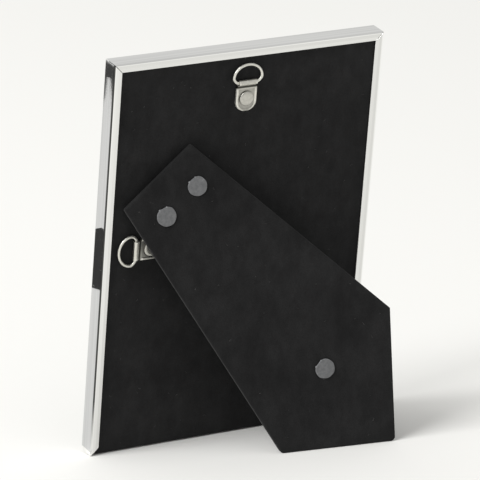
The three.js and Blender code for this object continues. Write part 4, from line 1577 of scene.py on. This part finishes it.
@dataclass
class RingHanger:
    """Folded strap with a raised rim, its domed rivet, and a split D ring."""

    name: str
    place: Place
    ring_body: Body
    look: Material
    strap_width: float = 9.9 * MM
    loop_width: float = 8.6 * MM
    shoulder: float = 2.0 * MM
    shoulder_run: float = 0.5 * MM
    sheet: float = 0.5 * MM
    layer_gap: float = 0.02 * MM
    bevel: float = 0.12 * MM
    reach: float = 13.1 * MM
    end_round: float = 4.6 * MM
    end_power: float = 2.3
    rim: float = 1.05 * MM
    rim_rise: float = 0.22 * MM
    rim_start: float = 0.9 * MM
    rim_slope: float = 0.3 * MM
    rim_roll: float = 0.28 * MM
    bar_room: float = 0.15 * MM
    loop_leaves: float = math.radians(196.0)
    rivet_reach: float = 7.3 * MM
    rivet_edge: float = 0.3 * MM
    rivet_lift: float = 0.12 * MM
    wire: float = 1.2 * MM
    ring_width: float = 14.8 * MM
    ring_reach: float = 8.8 * MM
    ring_rise: float = 2.3 * MM
    ring_shoulder: float = 0.6 * MM
    ring_bar_room: float = 0.2 * MM
    ring_sides: int = 20
    swell: float = 0.16
    split: float = 0.4 * MM
    blunt: float = 0.08 * MM

    def __post_init__(self) -> None:
        """Reads how high the bar stands over the strap's underside."""
        self.under = self.place.node_box(f"{self.name}_hanger_strap")[0].y
        self.loop_radius = self.wire / 2 + self.bar_room + self.sheet / 2

    def half_width(self, z: float) -> float:
        """Half the strap's width at a height above the bar, negative below it."""
        past_shoulder = ease(clamp((-z - self.shoulder) / self.shoulder_run + 0.5))
        half = (self.loop_width + (self.strap_width - self.loop_width) * past_shoulder) / 2
        into_end = clamp((-z - (self.reach - self.end_round)) / self.end_round)
        return half * math.sqrt(max(0.0, 1 - into_end ** self.end_power))

    def path(self, steps: int = 34) -> tuple[list[Vector], int]:
        """Middle line of the folded sheet as (z, y), from tip to tip, and where its outer layer starts."""
        lower = self.under + self.sheet / 2
        upper = lower + self.sheet + self.layer_gap
        line = [Vector((-self.reach * (1 - i / steps), lower)) for i in range(steps)]
        for share in shares(36):
            angle = -math.pi / 2 + (self.loop_leaves + math.pi / 2) * share
            line.append(Vector((math.cos(angle), math.sin(angle))) * self.loop_radius)
        start = line[-1]
        knee, foot = Vector((start.x + 0.08 * MM, upper)), Vector((start.x - 0.75 * MM, upper))
        line += [curve(start, knee, foot, share) for share in shares(6)[1:]]
        top = [foot.lerp(Vector((-self.reach, upper)), share) for share in shares(steps + 8)[1:]]
        return line + top, len(line)

    def rim_at(self, x: float, z: float) -> float:
        """Height of the raised rim of the outer layer at a place."""
        side = self.half_width(z) - abs(x)
        end_centre = self.end_round - self.reach
        if z < end_centre:
            spread = math.hypot(x * self.end_round / (self.strap_width / 2), z - end_centre)
            side = min(side, self.end_round - spread)
        into_plate = clamp((-z - self.shoulder - self.rim_start) / (2 * self.rim_slope))
        rise = ease(clamp((self.rim - side) / self.rim_slope + 0.5))
        round_off = math.sqrt(max(0.0, 1 - (1 - clamp(side / self.rim_roll)) ** 2))
        return self.rim_rise * rise * into_plate * (0.35 + 0.65 * round_off)

    def strap(self) -> None:
        """The folded sheet, drawn as sections across it from one tip to the other."""
        line, outer_from = self.path()
        lanes = [math.copysign(abs(lane) ** 0.75, lane) for lane in [2 * share - 1 for share in shares(40)]]
        rings = []
        for i, point in enumerate(line):
            along = heading(line, i)
            outward = Vector((along.y, -along.x))
            half = self.half_width(point.x)
            sides = []
            for offset in (1, -1):
                row = []
                for x in [lane * half for lane in lanes]:
                    lift = offset * (self.sheet / 2 - max(0.0, abs(x) - (half - self.bevel)) * 0.6)
                    if i >= outer_from and offset > 0:
                        lift += self.rim_at(x, point.x)
                    spot = point + outward * lift
                    row.append(Vector((x, spot.y, spot.x)))
                sides.append(row)
            rings.append(sides[0] + sides[1][::-1])
        draft = Draft(self.place)
        draft.loft(rings)
        name = f"{self.name}_hanger_strap"
        data = draft.to_mesh(name, 50.0)
        # Painted shade in the fold, round the rivet and along the loop's middle, and a plain darker recess.
        paint(data, PAINTED_SHADE_AND_TONE, [self.painted_shade_at(self.place.local(vertex.co)) for vertex in data.vertices])
        settle(name, data, self.look, Body.BACK, [name])

    def painted_shade_at(self, point: Vector) -> float:
        """Painted shade on the strap at a local point: in the fold, round the rivet and deepest on one side of
        it, along the middle of the loop, and a plain darker recess.
        """
        above_rivet = point.z + self.rivet_reach
        fold = math.exp(-((point.z + self.loop_radius + 0.95 * MM) / (0.7 * MM)) ** 4)
        ring = math.exp(-((math.hypot(point.x, above_rivet) - 3.35 * MM) / (0.45 * MM)) ** 2)
        shadow_side = 0.62 + 0.38 * math.cos(math.atan2(above_rivet, point.x) - math.radians(50.0))
        in_plate = point.z < -self.shoulder - self.rim_start
        recessed = in_plate and self.half_width(point.z) - abs(point.x) > self.rim
        on_loop_middle = abs(point.x) < 3.5 * MM and point.y > 0
        loop_middle_shade = math.exp(-(point.z / (0.3 * MM)) ** 2) * 0.3 if on_loop_middle else 0.0
        return max(fold, ring * shadow_side * 0.95, 0.5 if recessed else 0.0, loop_middle_shade)

    def rivet(self, repeater: Repeater) -> None:
        """The domed rivet that holds the strap."""
        name = f"{self.name}_hanger_rivet"
        top = self.under + 2 * self.sheet + self.rivet_lift
        shape = RivetShape.fitted(self.place, name, top, self.rivet_edge, flatness=0.62)
        sample = shape.sample(f"{name}_sample", 56)
        # The rivet takes a plain darker tone through the painted shade attribute.
        paint(sample, PAINTED_SHADE_AND_TONE, [0.26] * len(sample.vertices))
        spot = Vector((0.0, top, -self.rivet_reach))
        data = repeater.on_points(name, self.place, [spot], sample, self.look)
        settle(name, data, None, Body.BACK, [name])

    def ring_path(self, count: int = 150) -> list[Vector]:
        """Middle line of the ring as (x, z), from one end of the split to the other."""
        side = (self.ring_width - self.wire) / 2
        rise = self.ring_reach - self.wire / 2 - self.ring_rise
        gap, bar = Vector((self.split / 2, 0.0)), Vector((self.loop_width / 2 + self.ring_bar_room, 0.0))
        corner = Vector((side - self.ring_shoulder, self.ring_shoulder))
        widest = Vector((side, self.ring_rise))
        half = [gap.lerp(bar, i / 20) for i in range(20)]
        half += [curve(bar, corner, widest, i / 14) for i in range(14)]
        for share in shares(40):
            angle = share * math.pi / 2
            half.append(Vector((side * math.cos(angle), self.ring_rise + rise * math.sin(angle))))
        dense = half + [Vector((-point.x, point.y)) for point in half[-2::-1]]
        lengths = [0.0, *accumulate((b - a).length for a, b in zip(dense, dense[1:]))]
        route = []
        at = 0
        for wanted in [lengths[-1] * share for share in shares(count)]:
            while at < len(lengths) - 2 and lengths[at + 1] < wanted:
                at += 1
            share = (wanted - lengths[at]) / (lengths[at + 1] - lengths[at])
            route.append(dense[at].lerp(dense[at + 1], min(1.0, share)))
        return route

    def ring(self) -> None:
        """The D ring: round wire, a little flattened at its tight corners, with blunt ends."""
        route = self.ring_path()
        radius = self.wire / 2
        rings = []
        for i, point in enumerate(route):
            along = heading(route, i)
            across = Vector((along.y, -along.x))
            inside = 4 <= i < len(route) - 4
            bend = (route[i + 4] - point).angle(point - route[i - 4], 0.0) if inside else 0.0
            swell = 1 + self.swell * min(1.0, bend / 0.7)
            ring = []
            for cosine, sine in circle(self.ring_sides):
                spot = point + across * (cosine * radius * swell)
                ring.append(flat_point(spot, radius * sine * (2 - swell)))
            rings.append(ring)
        ends = []
        for ring, following in ((rings[0], rings[1]), (rings[-1], rings[-2])):
            middle = sum(ring, Vector()) / len(ring)
            step = (ring[0] - following[0]).normalized() * self.blunt
            ends.append([point.lerp(middle, 0.14) + step for point in ring])
        draft = Draft(self.place)
        draft.loft([ends[0], *rings, ends[1]])
        name = f"{self.name}_ring"
        settle(name, draft.to_mesh(name, 50.0), self.look, self.ring_body, [name])

    def build(self, repeater: Repeater) -> None:
        """Builds the strap, the rivet and the ring."""
        self.strap()
        self.rivet(repeater)
        self.ring()


# ---- Easel hinge ----


@dataclass
class HingeLeaf:
    """One leaf of the easel hinge with its rolled knuckles."""

    name: str
    place: Place
    body: Body
    look: Material
    side: int
    first: int
    width: float = 30.0 * MM
    knuckles: int = 5
    knuckle_radius: float = 1.1 * MM
    knuckle_gap: float = 0.3 * MM
    bore: float = 0.7 * MM
    sheet: float = 0.5 * MM
    corner: float = 2.0 * MM
    root_corner: float = 0.3 * MM
    root_gap: float = 0.35 * MM
    plate_soft: float = 0.08 * MM
    tail: float = 0.6 * MM
    rolled: float = math.radians(292.0)
    knuckle_soft: float = 0.1 * MM

    def plate(self, draft: Draft) -> None:
        """The flat of the leaf, with softened edges."""
        end = self.place.node_box(self.name)[0].z
        root = -self.knuckle_radius - self.root_gap
        half = self.width / 2
        corners = [Vector(corner) for corner in ((-half, end), (half, end), (half, root), (-half, root))]
        outline = rounded(corners, [self.corner] * 2 + [self.root_corner] * 2, 6)
        face = self.side * self.knuckle_radius
        low, high = sorted((face, face - self.side * self.sheet))
        soft = self.plate_soft
        levels = ((soft, low), (0.0, low + soft), (0.0, high - soft), (soft, high))
        draft.loft([[flat_point(point, y) for point in inset(outline, distance)] for distance, y in levels])

    def knuckle(self) -> Mesh:
        """One knuckle drawn at the world's origin: the sheet rolled round the pin."""
        middle = (self.knuckle_radius + self.bore) / 2
        half_sheet = (self.knuckle_radius - self.bore) / 2
        line = []
        for share in shares(5)[:-1]:
            z = -(self.knuckle_radius + self.tail) * (1 - share)
            line.append((Vector((z, self.side * middle)), Vector((0.0, self.side))))
        for share in shares(36):
            angle = self.side * (math.pi / 2 - self.rolled * share)
            outward = Vector((math.cos(angle), math.sin(angle)))
            line.append((outward * middle, outward))
        half = (self.width / self.knuckles - self.knuckle_gap) / 2
        soft = self.knuckle_soft
        left = [(-half, -half_sheet), (-half, half_sheet - soft), (soft - half, half_sheet)]
        section = left + [(-x, offset) for x, offset in reversed(left)]
        rings = []
        for point, outward in line:
            spots = [(x, point + outward * offset) for x, offset in section]
            rings.append([Vector((x, spot.y, spot.x)) for x, spot in spots])
        draft = Draft(WORLD)
        draft.loft(rings)
        return draft.to_mesh("knuckle", 40.0)

    def build(self, repeater: Repeater) -> None:
        """Builds the leaf: its plate, and its knuckles repeated along the pin."""
        pitch = self.width / self.knuckles
        middles = [(i + 0.5) * pitch - self.width / 2 for i in range(self.first, self.knuckles, 2)]
        spots = [Vector((middle, 0.0, 0.0)) for middle in middles]
        rolled = repeater.on_points(f"{self.name}_knuckles", self.place, spots, self.knuckle(), self.look)
        draft = Draft(self.place)
        self.plate(draft)
        data = draft.to_mesh(self.name)
        join = bmesh.new()
        join.from_mesh(data)
        join.from_mesh(rolled)
        join.to_mesh(data)
        join.free()
        settle(self.name, data, self.look, self.body, [self.name])


@dataclass
class EaselHinge:
    """The hinge between the back and the leg: two leaves, the pin and the rivets into the back."""

    stance: Stance
    look: Material
    rivet_height: float = 0.4 * MM
    rivet_edge: float = 0.2 * MM

    def pin(self) -> None:
        """The pin, with rounded ends."""
        place = self.stance.hinge
        low, high = place.node_box("hinge_pin")
        radius = (high.y - low.y) / 2
        half = (high.x - low.x) / 2
        profile = [Vector((0.0, -half))]
        for end in (-1, 1):
            for share in shares(5)[::-end]:
                rise = math.sin(share * math.pi / 2)
                y = end * (half - radius * 0.4 * (1 - rise))
                profile.append(Vector((radius * (0.55 + 0.45 * rise), y)))
        profile.append(Vector((0.0, half)))
        middle = (low + high) / 2
        turned = Place(place.at(middle.x), -place.out, place.across, place.up)
        draft = Draft(turned)
        draft.lathe(profile, 24)
        settle("hinge_pin", draft.to_mesh("hinge_pin"), self.look, Body.BACK, ["hinge_pin"])

    def panel_rivets(self, repeater: Repeater) -> None:
        """The two rivets through the back's leaf."""
        names = ["hinge_panel_rivet_1", "hinge_panel_rivet_2"]
        place = self.stance.hinge
        base = place.node_box(names[0])[1].y - self.rivet_height
        sample = RivetShape.fitted(place, names[0], base, self.rivet_edge).sample("panel_rivet", 32)
        spots = place.spots(names, base)
        data = repeater.on_points("hinge_panel_rivets", place, spots, sample, self.look, math.pi, 0.02, 5)
        settle("hinge_panel_rivets", data, None, Body.BACK, names)

    def build(self, repeater: Repeater) -> None:
        """Builds both leaves, the pin and the rivets."""
        hinge = self.stance.hinge
        HingeLeaf("hinge_panel_leaf", hinge, Body.BACK, self.look, -1, 0).build(repeater)
        HingeLeaf("hinge_leg_leaf", self.stance.leg, Body.LEG, self.look, 1, 1).build(repeater)
        self.pin()
        self.panel_rivets(repeater)


# ---- Easel leg ----


@dataclass
class Leg:
    """Velvet leg with its lining and its three flat rivets."""

    place: Place
    palette: Palette
    foot_level: float = -125.0 * MM
    dent: float = 4.6 * MM
    rivet_height: float = 0.5 * MM
    rivet_edge: float = 0.32 * MM
    cut_back: float = 0.2 * MM
    lint_density: float = 3600.0

    RIVETS = ("leg_rivet_1", "leg_rivet_2", "stay_rivet")

    def rivets(self, repeater: Repeater) -> None:
        """The flat rivets, one piece made of three copies, their flats towards the upper outer side."""
        base = self.place.node_box("leg_rivet_1")[1].y - self.rivet_height
        rest = {"flatness": 0.9, "short_of": self.cut_back}
        shape = RivetShape.fitted(self.place, "leg_rivet_1", base, self.rivet_edge, **rest)
        upper_side = self.place.local(self.place.origin + Vector((0.75, 0.0, 1.0)))
        flat_at = math.atan2(upper_side.z, upper_side.x)
        sample = FlatDisc(shape, flat_at).sample()
        spots = self.place.spots(self.RIVETS, base)
        look = self.palette.grey_rivet
        data = repeater.on_points("leg_rivets", self.place, spots, sample, look, math.radians(14.0), 0.025, 8)
        settle("leg_rivets", data, None, Body.LEG, self.RIVETS)

    def build(self, repeater: Repeater) -> None:
        """Builds the cover with its lint, the rivets and the finishes of what is inside."""
        dents = [(self.place.middle_of(name), self.dent) for name in self.RIVETS]
        shape = {"foot_level": self.foot_level, "seed": 7}
        cover = Cover("leg_velvet", self.place, Body.LEG, self.palette.velvet, dents, **shape)
        cover.build()
        cover.lint(repeater, self.palette.lint, self.lint_density, 21)
        self.rivets(repeater)
        refinish("leg_board", self.palette.board)
        refinish("leg_lining", self.palette.lining)


# ---- Stay ribbon ----


@dataclass
class Stay:
    """Ribbon that stops the leg, with its small rivet on the back."""

    stance: Stance
    palette: Palette
    width: float = 10.0 * MM
    thickness: float = 0.3 * MM
    tab: float = 3.5 * MM
    bend: float = 4.0 * MM
    glue: float = 0.1 * MM
    bow: float = 0.35 * MM
    bend_reach: float = 1.2 * MM
    soft: float = 0.1 * MM
    lanes: int = 16

    def route(self) -> list[Vector]:
        """Middle line of the ribbon in the hinge's frame, from its end on the back to its end on the leg."""
        hinge, leg = self.stance.hinge, self.stance.leg
        anchor = hinge.middle_of("stay_anchor_rivet")
        stay = leg.middle_of("stay_rivet")
        on_back = hinge.node_box("back_velvet")[1].y + self.glue + self.thickness / 2
        on_leg = leg.node_box("leg_lining")[0].y - self.glue - self.thickness / 2
        leg_points = [leg.at(anchor.x, on_leg, stay.z + shift) for shift in (self.bend, -self.tab)]
        turns = [
            Vector((anchor.x, on_back, anchor.z + self.tab)),
            Vector((anchor.x, on_back, anchor.z - self.bend)),
            *[hinge.local(point) for point in leg_points],
        ]
        return self._softened(turns)

    def _softened(self, turns: Sequence[Vector]) -> list[Vector]:
        """The route with round bends and a slight bow in its free stretch."""
        start, leave, arrive, end = turns
        into, away, last = [(b - a).normalized() for a, b in zip(turns, turns[1:])]
        line = [start.lerp(leave, i / 8) for i in range(8)]
        line = [point for point in line if (point - leave).length > self.bend_reach]
        first_arc = self._arc(leave, into, away)
        second_arc = self._arc(arrive, away, last)
        sideways = Vector((0.0, -away.z, away.y)) * self.bow
        free = []
        for share in shares(24)[1:-1]:
            sag = sideways * math.sin(math.pi * share) ** 2
            free.append(first_arc[-1].lerp(second_arc[0], share) + sag)
        tab = [second_arc[-1].lerp(end, share) for share in shares(8)[1:]]
        return [*line, *first_arc, *free, *second_arc, *tab]

    def _arc(self, corner: Vector, before: Vector, after: Vector) -> list[Vector]:
        """A bend from one direction into another."""
        start, end = corner - before * self.bend_reach, corner + after * self.bend_reach
        return [curve(start, corner, end, share) for share in shares(8)]

    def build(self) -> None:
        """Builds the ribbon and gives its rivet a finish."""
        line = self.route()
        half, thin = self.width / 2, self.thickness / 2
        rings = []
        for i, point in enumerate(line):
            along = heading(line, i)
            outward = Vector((0.0, -along.z, along.y))
            ring = []
            for offset in (1, -1):
                for x in [offset * (self.width * share - half) for share in shares(self.lanes)]:
                    edge = max(0.0, abs(x) - (half - self.soft))
                    ring.append(point + Vector((x, 0.0, 0.0)) + outward * (offset * (thin - edge * 0.7)))
            rings.append(ring)
        hinge = self.stance.hinge
        draft = Draft(hinge)
        draft.loft(rings)
        data = draft.to_mesh("stay_ribbon", 60.0)
        ribbon = settle("stay_ribbon", data, self.palette.tape, None, ["stay_ribbon"])
        start, end = hinge.at(*line[8]), hinge.at(*line[-9])
        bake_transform(ribbon)
        refinish("stay_anchor_rivet", self.palette.steel)


# ---- Back and glazing ----


@dataclass
class SlidingBack:
    """Velvet back with its two hangers."""

    stance: Stance
    palette: Palette
    lint_density: float = 3400.0

    def build(self, repeater: Repeater) -> None:
        """Builds the cover with its lint and both hangers."""
        place = self.stance.back
        dents = [(place.middle_of(f"{name}_hanger_rivet"), 5.2 * MM) for name in ("top", "side")]
        cover = Cover("back_velvet", place, Body.BACK, self.palette.velvet, dents, dent_depth=0.08 * MM)
        cover.build()
        cover.lint(repeater, self.palette.lint, self.lint_density, 4)
        refinish("back_board", self.palette.board)
        hangers = (("top", "top_ring_swing", Body.TOP_RING), ("side", "side_ring_swing", Body.SIDE_RING))
        for name, swing, body in hangers:
            RingHanger(name, self.stance.ring(swing), body, self.palette.nickel).build(repeater)


def glaze(palette: Palette) -> None:
    """Gives the glass, the print, the filler card and the corner angles, which keep their shapes, a finish."""
    finishes = {"glass": palette.glass, "print": palette.paper, "filler_card": palette.board}
    for corner in ("bottom_left", "top_left", "top_right", "bottom_right"):
        finishes[f"brace_{corner}"] = palette.steel
    for node, look in finishes.items():
        refinish(node, look)


# ---- Studio ----


@dataclass
class Studio:
    """Pale floor, soft light, dark cards that only the metal sees, and the camera."""

    target: Vector = field(default_factory=lambda: Vector((0.00089, -0.00073, 0.09305)))
    distance: float = 1.8537
    azimuth: float = math.radians(151.06)
    elevation: float = math.radians(15.57)
    roll: float = math.radians(-0.10)
    lens: float = 322.34
    sensor: float = 36.0
    far_limit: float = 50.0
    backdrop: Color = (0.935, 0.930, 0.900)
    fill: Color = (0.655, 0.655, 0.648)
    floor_tone: Color = (0.85, 0.845, 0.822)
    floor_reach: float = 6.0
    fade: tuple[float, float] = (1.3, 3.6)  # from the middle of the floor
    flag_spacing: float = 4.0 * MM

    # Cards as they show in the side face: corners (down, across) and their rounding in millimetres, tone, lift.
    FLAGS = {
        "flag_upper": (((-18, -9), (-18, 18), (82, 18), (82, -9)), 1.0, 0.55, 0.0002),
        "flag_lower": (((100, -9), (100, 18), (180, 18), (180, -9)), 1.0, 0.575, 0.0002),
        "flag_block": (((78.5, -0.6), (73.5, 9.4), (102.2, 13), (106.5, -4)), 3.0, 0.02, 0.0006),
        "flag_arch": (((1.0, -3), (1.0, 12), (24, 12), (24, -3)), 0.5, 0.03, 0.0005),
        "flag_arch_light": (
            ((7.6, 3.0), (7.6, 5.8), (20, 9.3), (34, 12), (34, -3), (24, -1.6), (17, 1.9)), 1.0, 0.55, 0.0008
        ),
    }

    def camera(self) -> None:
        """Puts up the camera."""
        side = Vector((math.sin(self.azimuth), -math.cos(self.azimuth), 0.0)) * math.cos(self.elevation)
        towards = side + Vector((0.0, 0.0, math.sin(self.elevation)))
        data = bpy.data.cameras.new("camera")
        data.lens = self.lens
        data.sensor_width = self.sensor
        data.clip_end = self.far_limit
        made = new_object("camera", data)
        turn = (-towards).to_track_quat("-Z", "Y").to_matrix().to_4x4() @ Matrix.Rotation(self.roll, 4, "Z")
        made.matrix_world = Matrix.Translation(self.target + towards * self.distance) @ turn
        bpy.context.scene.camera = made

    def floor(self) -> None:
        """A plain pale floor that fades into the backdrop far from the frame."""
        mesh = bmesh.new()
        bmesh.ops.create_grid(mesh, x_segments=8, y_segments=8, size=self.floor_reach)
        data = bpy.data.meshes.new("floor")
        mesh.to_mesh(data)
        mesh.free()
        look, shader = new_look("floor_paper")
        net = Wiring(look.node_tree)
        where = net.add("ShaderNodeTexCoord").outputs["Object"]
        reach = net.add("ShaderNodeVectorMath", {"operation": "LENGTH"}, Vector=where).outputs["Value"]
        seen = net.add("ShaderNodeLightPath").outputs["Is Camera Ray"]
        far = net.times(net.remap(reach, *self.fade), seen)
        color = net.mix(far, self.floor_tone, (0.0, 0.0, 0.0))
        paper = {"Base_Color": color, "Roughness": 0.9, "Specular_IOR_Level": 0.0}
        glow = {"Emission_Strength": far, "Emission_Color": self.backdrop}
        net.feed_all(shader, {**paper, **glow})
        data.materials.append(look)
        new_object("floor", data)

    def world(self) -> None:
        """An even dome for light, and a paler backdrop where the camera looks past the floor."""
        world = bpy.data.worlds.new("studio")
        bpy.context.scene.world = world
        world.use_nodes = True
        net = Wiring(world.node_tree)
        seen = net.add("ShaderNodeLightPath").outputs["Is Camera Ray"]
        color = net.mix(seen, self.fill, self.backdrop)
        net.feed_all(world.node_tree.nodes["Background"], {"Color": color})

    def lamp(self, name: str, place: Vector, aim: Vector, size: tuple[float, float], power: float) -> None:
        """A rectangular soft light.

        Args:
            name: Name of the light.
            place: Where it stands.
            aim: The point that it faces.
            size: Its width and height.
            power: Its power in watts.
        """
        data = bpy.data.lights.new(name, "AREA")
        data.shape = "RECTANGLE"
        data.size, data.size_y = size
        data.energy = power
        made = new_object(name, data)
        turn = (aim - place).to_track_quat("-Z", "Y").to_matrix().to_4x4()
        made.matrix_world = Matrix.Translation(place) @ turn

    def seen_in_side(self, down: float, across: float) -> Vector:
        """Place on the table that the camera sees mirrored in the frame's outer side face.

        Args:
            down: How far down the side face.
            across: How far across it, from its front edge.

        Returns:
            The place, as (x, y).
        """
        back = Stance().back
        low, high = back.node_box("rail_right")
        spot = back.at(high.x, low.y + across, high.z - down)
        eye = bpy.context.scene.camera.matrix_world.translation
        mirrored = Vector((2 * spot.x - eye.x, eye.y, eye.z))
        return mirrored.lerp(spot, mirrored.z / (mirrored.z - spot.z)).to_2d()

    def flag(
        self, name: str, corners: Sequence[Sequence[float]], radius: float, tone: float, lift: float
    ) -> None:
        """A card on the table that only the metal and the glass see, drawn as it shows in the side face.

        Args:
            name: Name of the card.
            corners: Its corners in the side face, as (down, across) in millimetres.
            radius: Their rounding in millimetres.
            tone: Its brightness.
            lift: Its height over the table.
        """
        seen = rounded([Vector(corner) * MM for corner in corners], [radius * MM] * len(corners), 6)
        outline = [self.seen_in_side(*point) for point in evenly(seen, self.flag_spacing)]
        data = bpy.data.meshes.new(name)
        data.from_pydata([(point.x, point.y, lift) for point in outline], [], [list(range(len(outline)))])
        look, shader = new_look(name)
        card = {"Base_Color": (tone, tone, tone), "Roughness": 0.8, "Specular_IOR_Level": 0.1}
        Wiring(look.node_tree).feed_all(shader, card)
        data.materials.append(look)
        made = new_object(name, data)
        for ray in ("camera", "diffuse", "shadow", "transmission"):
            setattr(made, f"visible_{ray}", False)

    def build(self) -> None:
        """Builds the studio."""
        bpy.context.scene.view_settings.view_transform = "Standard"
        self.camera()
        self.floor()
        self.world()
        self.lamp("key", Vector((3.6, 0.55, 3.3)), Vector((0.0, 0.0, 0.08)), (2.6, 2.6), 205.0)
        for name, card in self.FLAGS.items():
            self.flag(name, *card)


def main() -> None:
    """Builds the studio and every sub-assembly."""
    logging.basicConfig(level=logging.INFO, format="%(name)s: %(message)s")
    Studio().build()
    stance = Stance()
    palette = Palette(stance)
    repeater = Repeater()
    Rails(stance.back, palette.polished).build()
    glaze(palette)
    SlidingBack(stance, palette).build(repeater)
    EaselHinge(stance, palette.steel).build(repeater)
    Leg(stance.leg, palette).build(repeater)
    Stay(stance, palette).build()


if __name__ == "__main__":
    main()
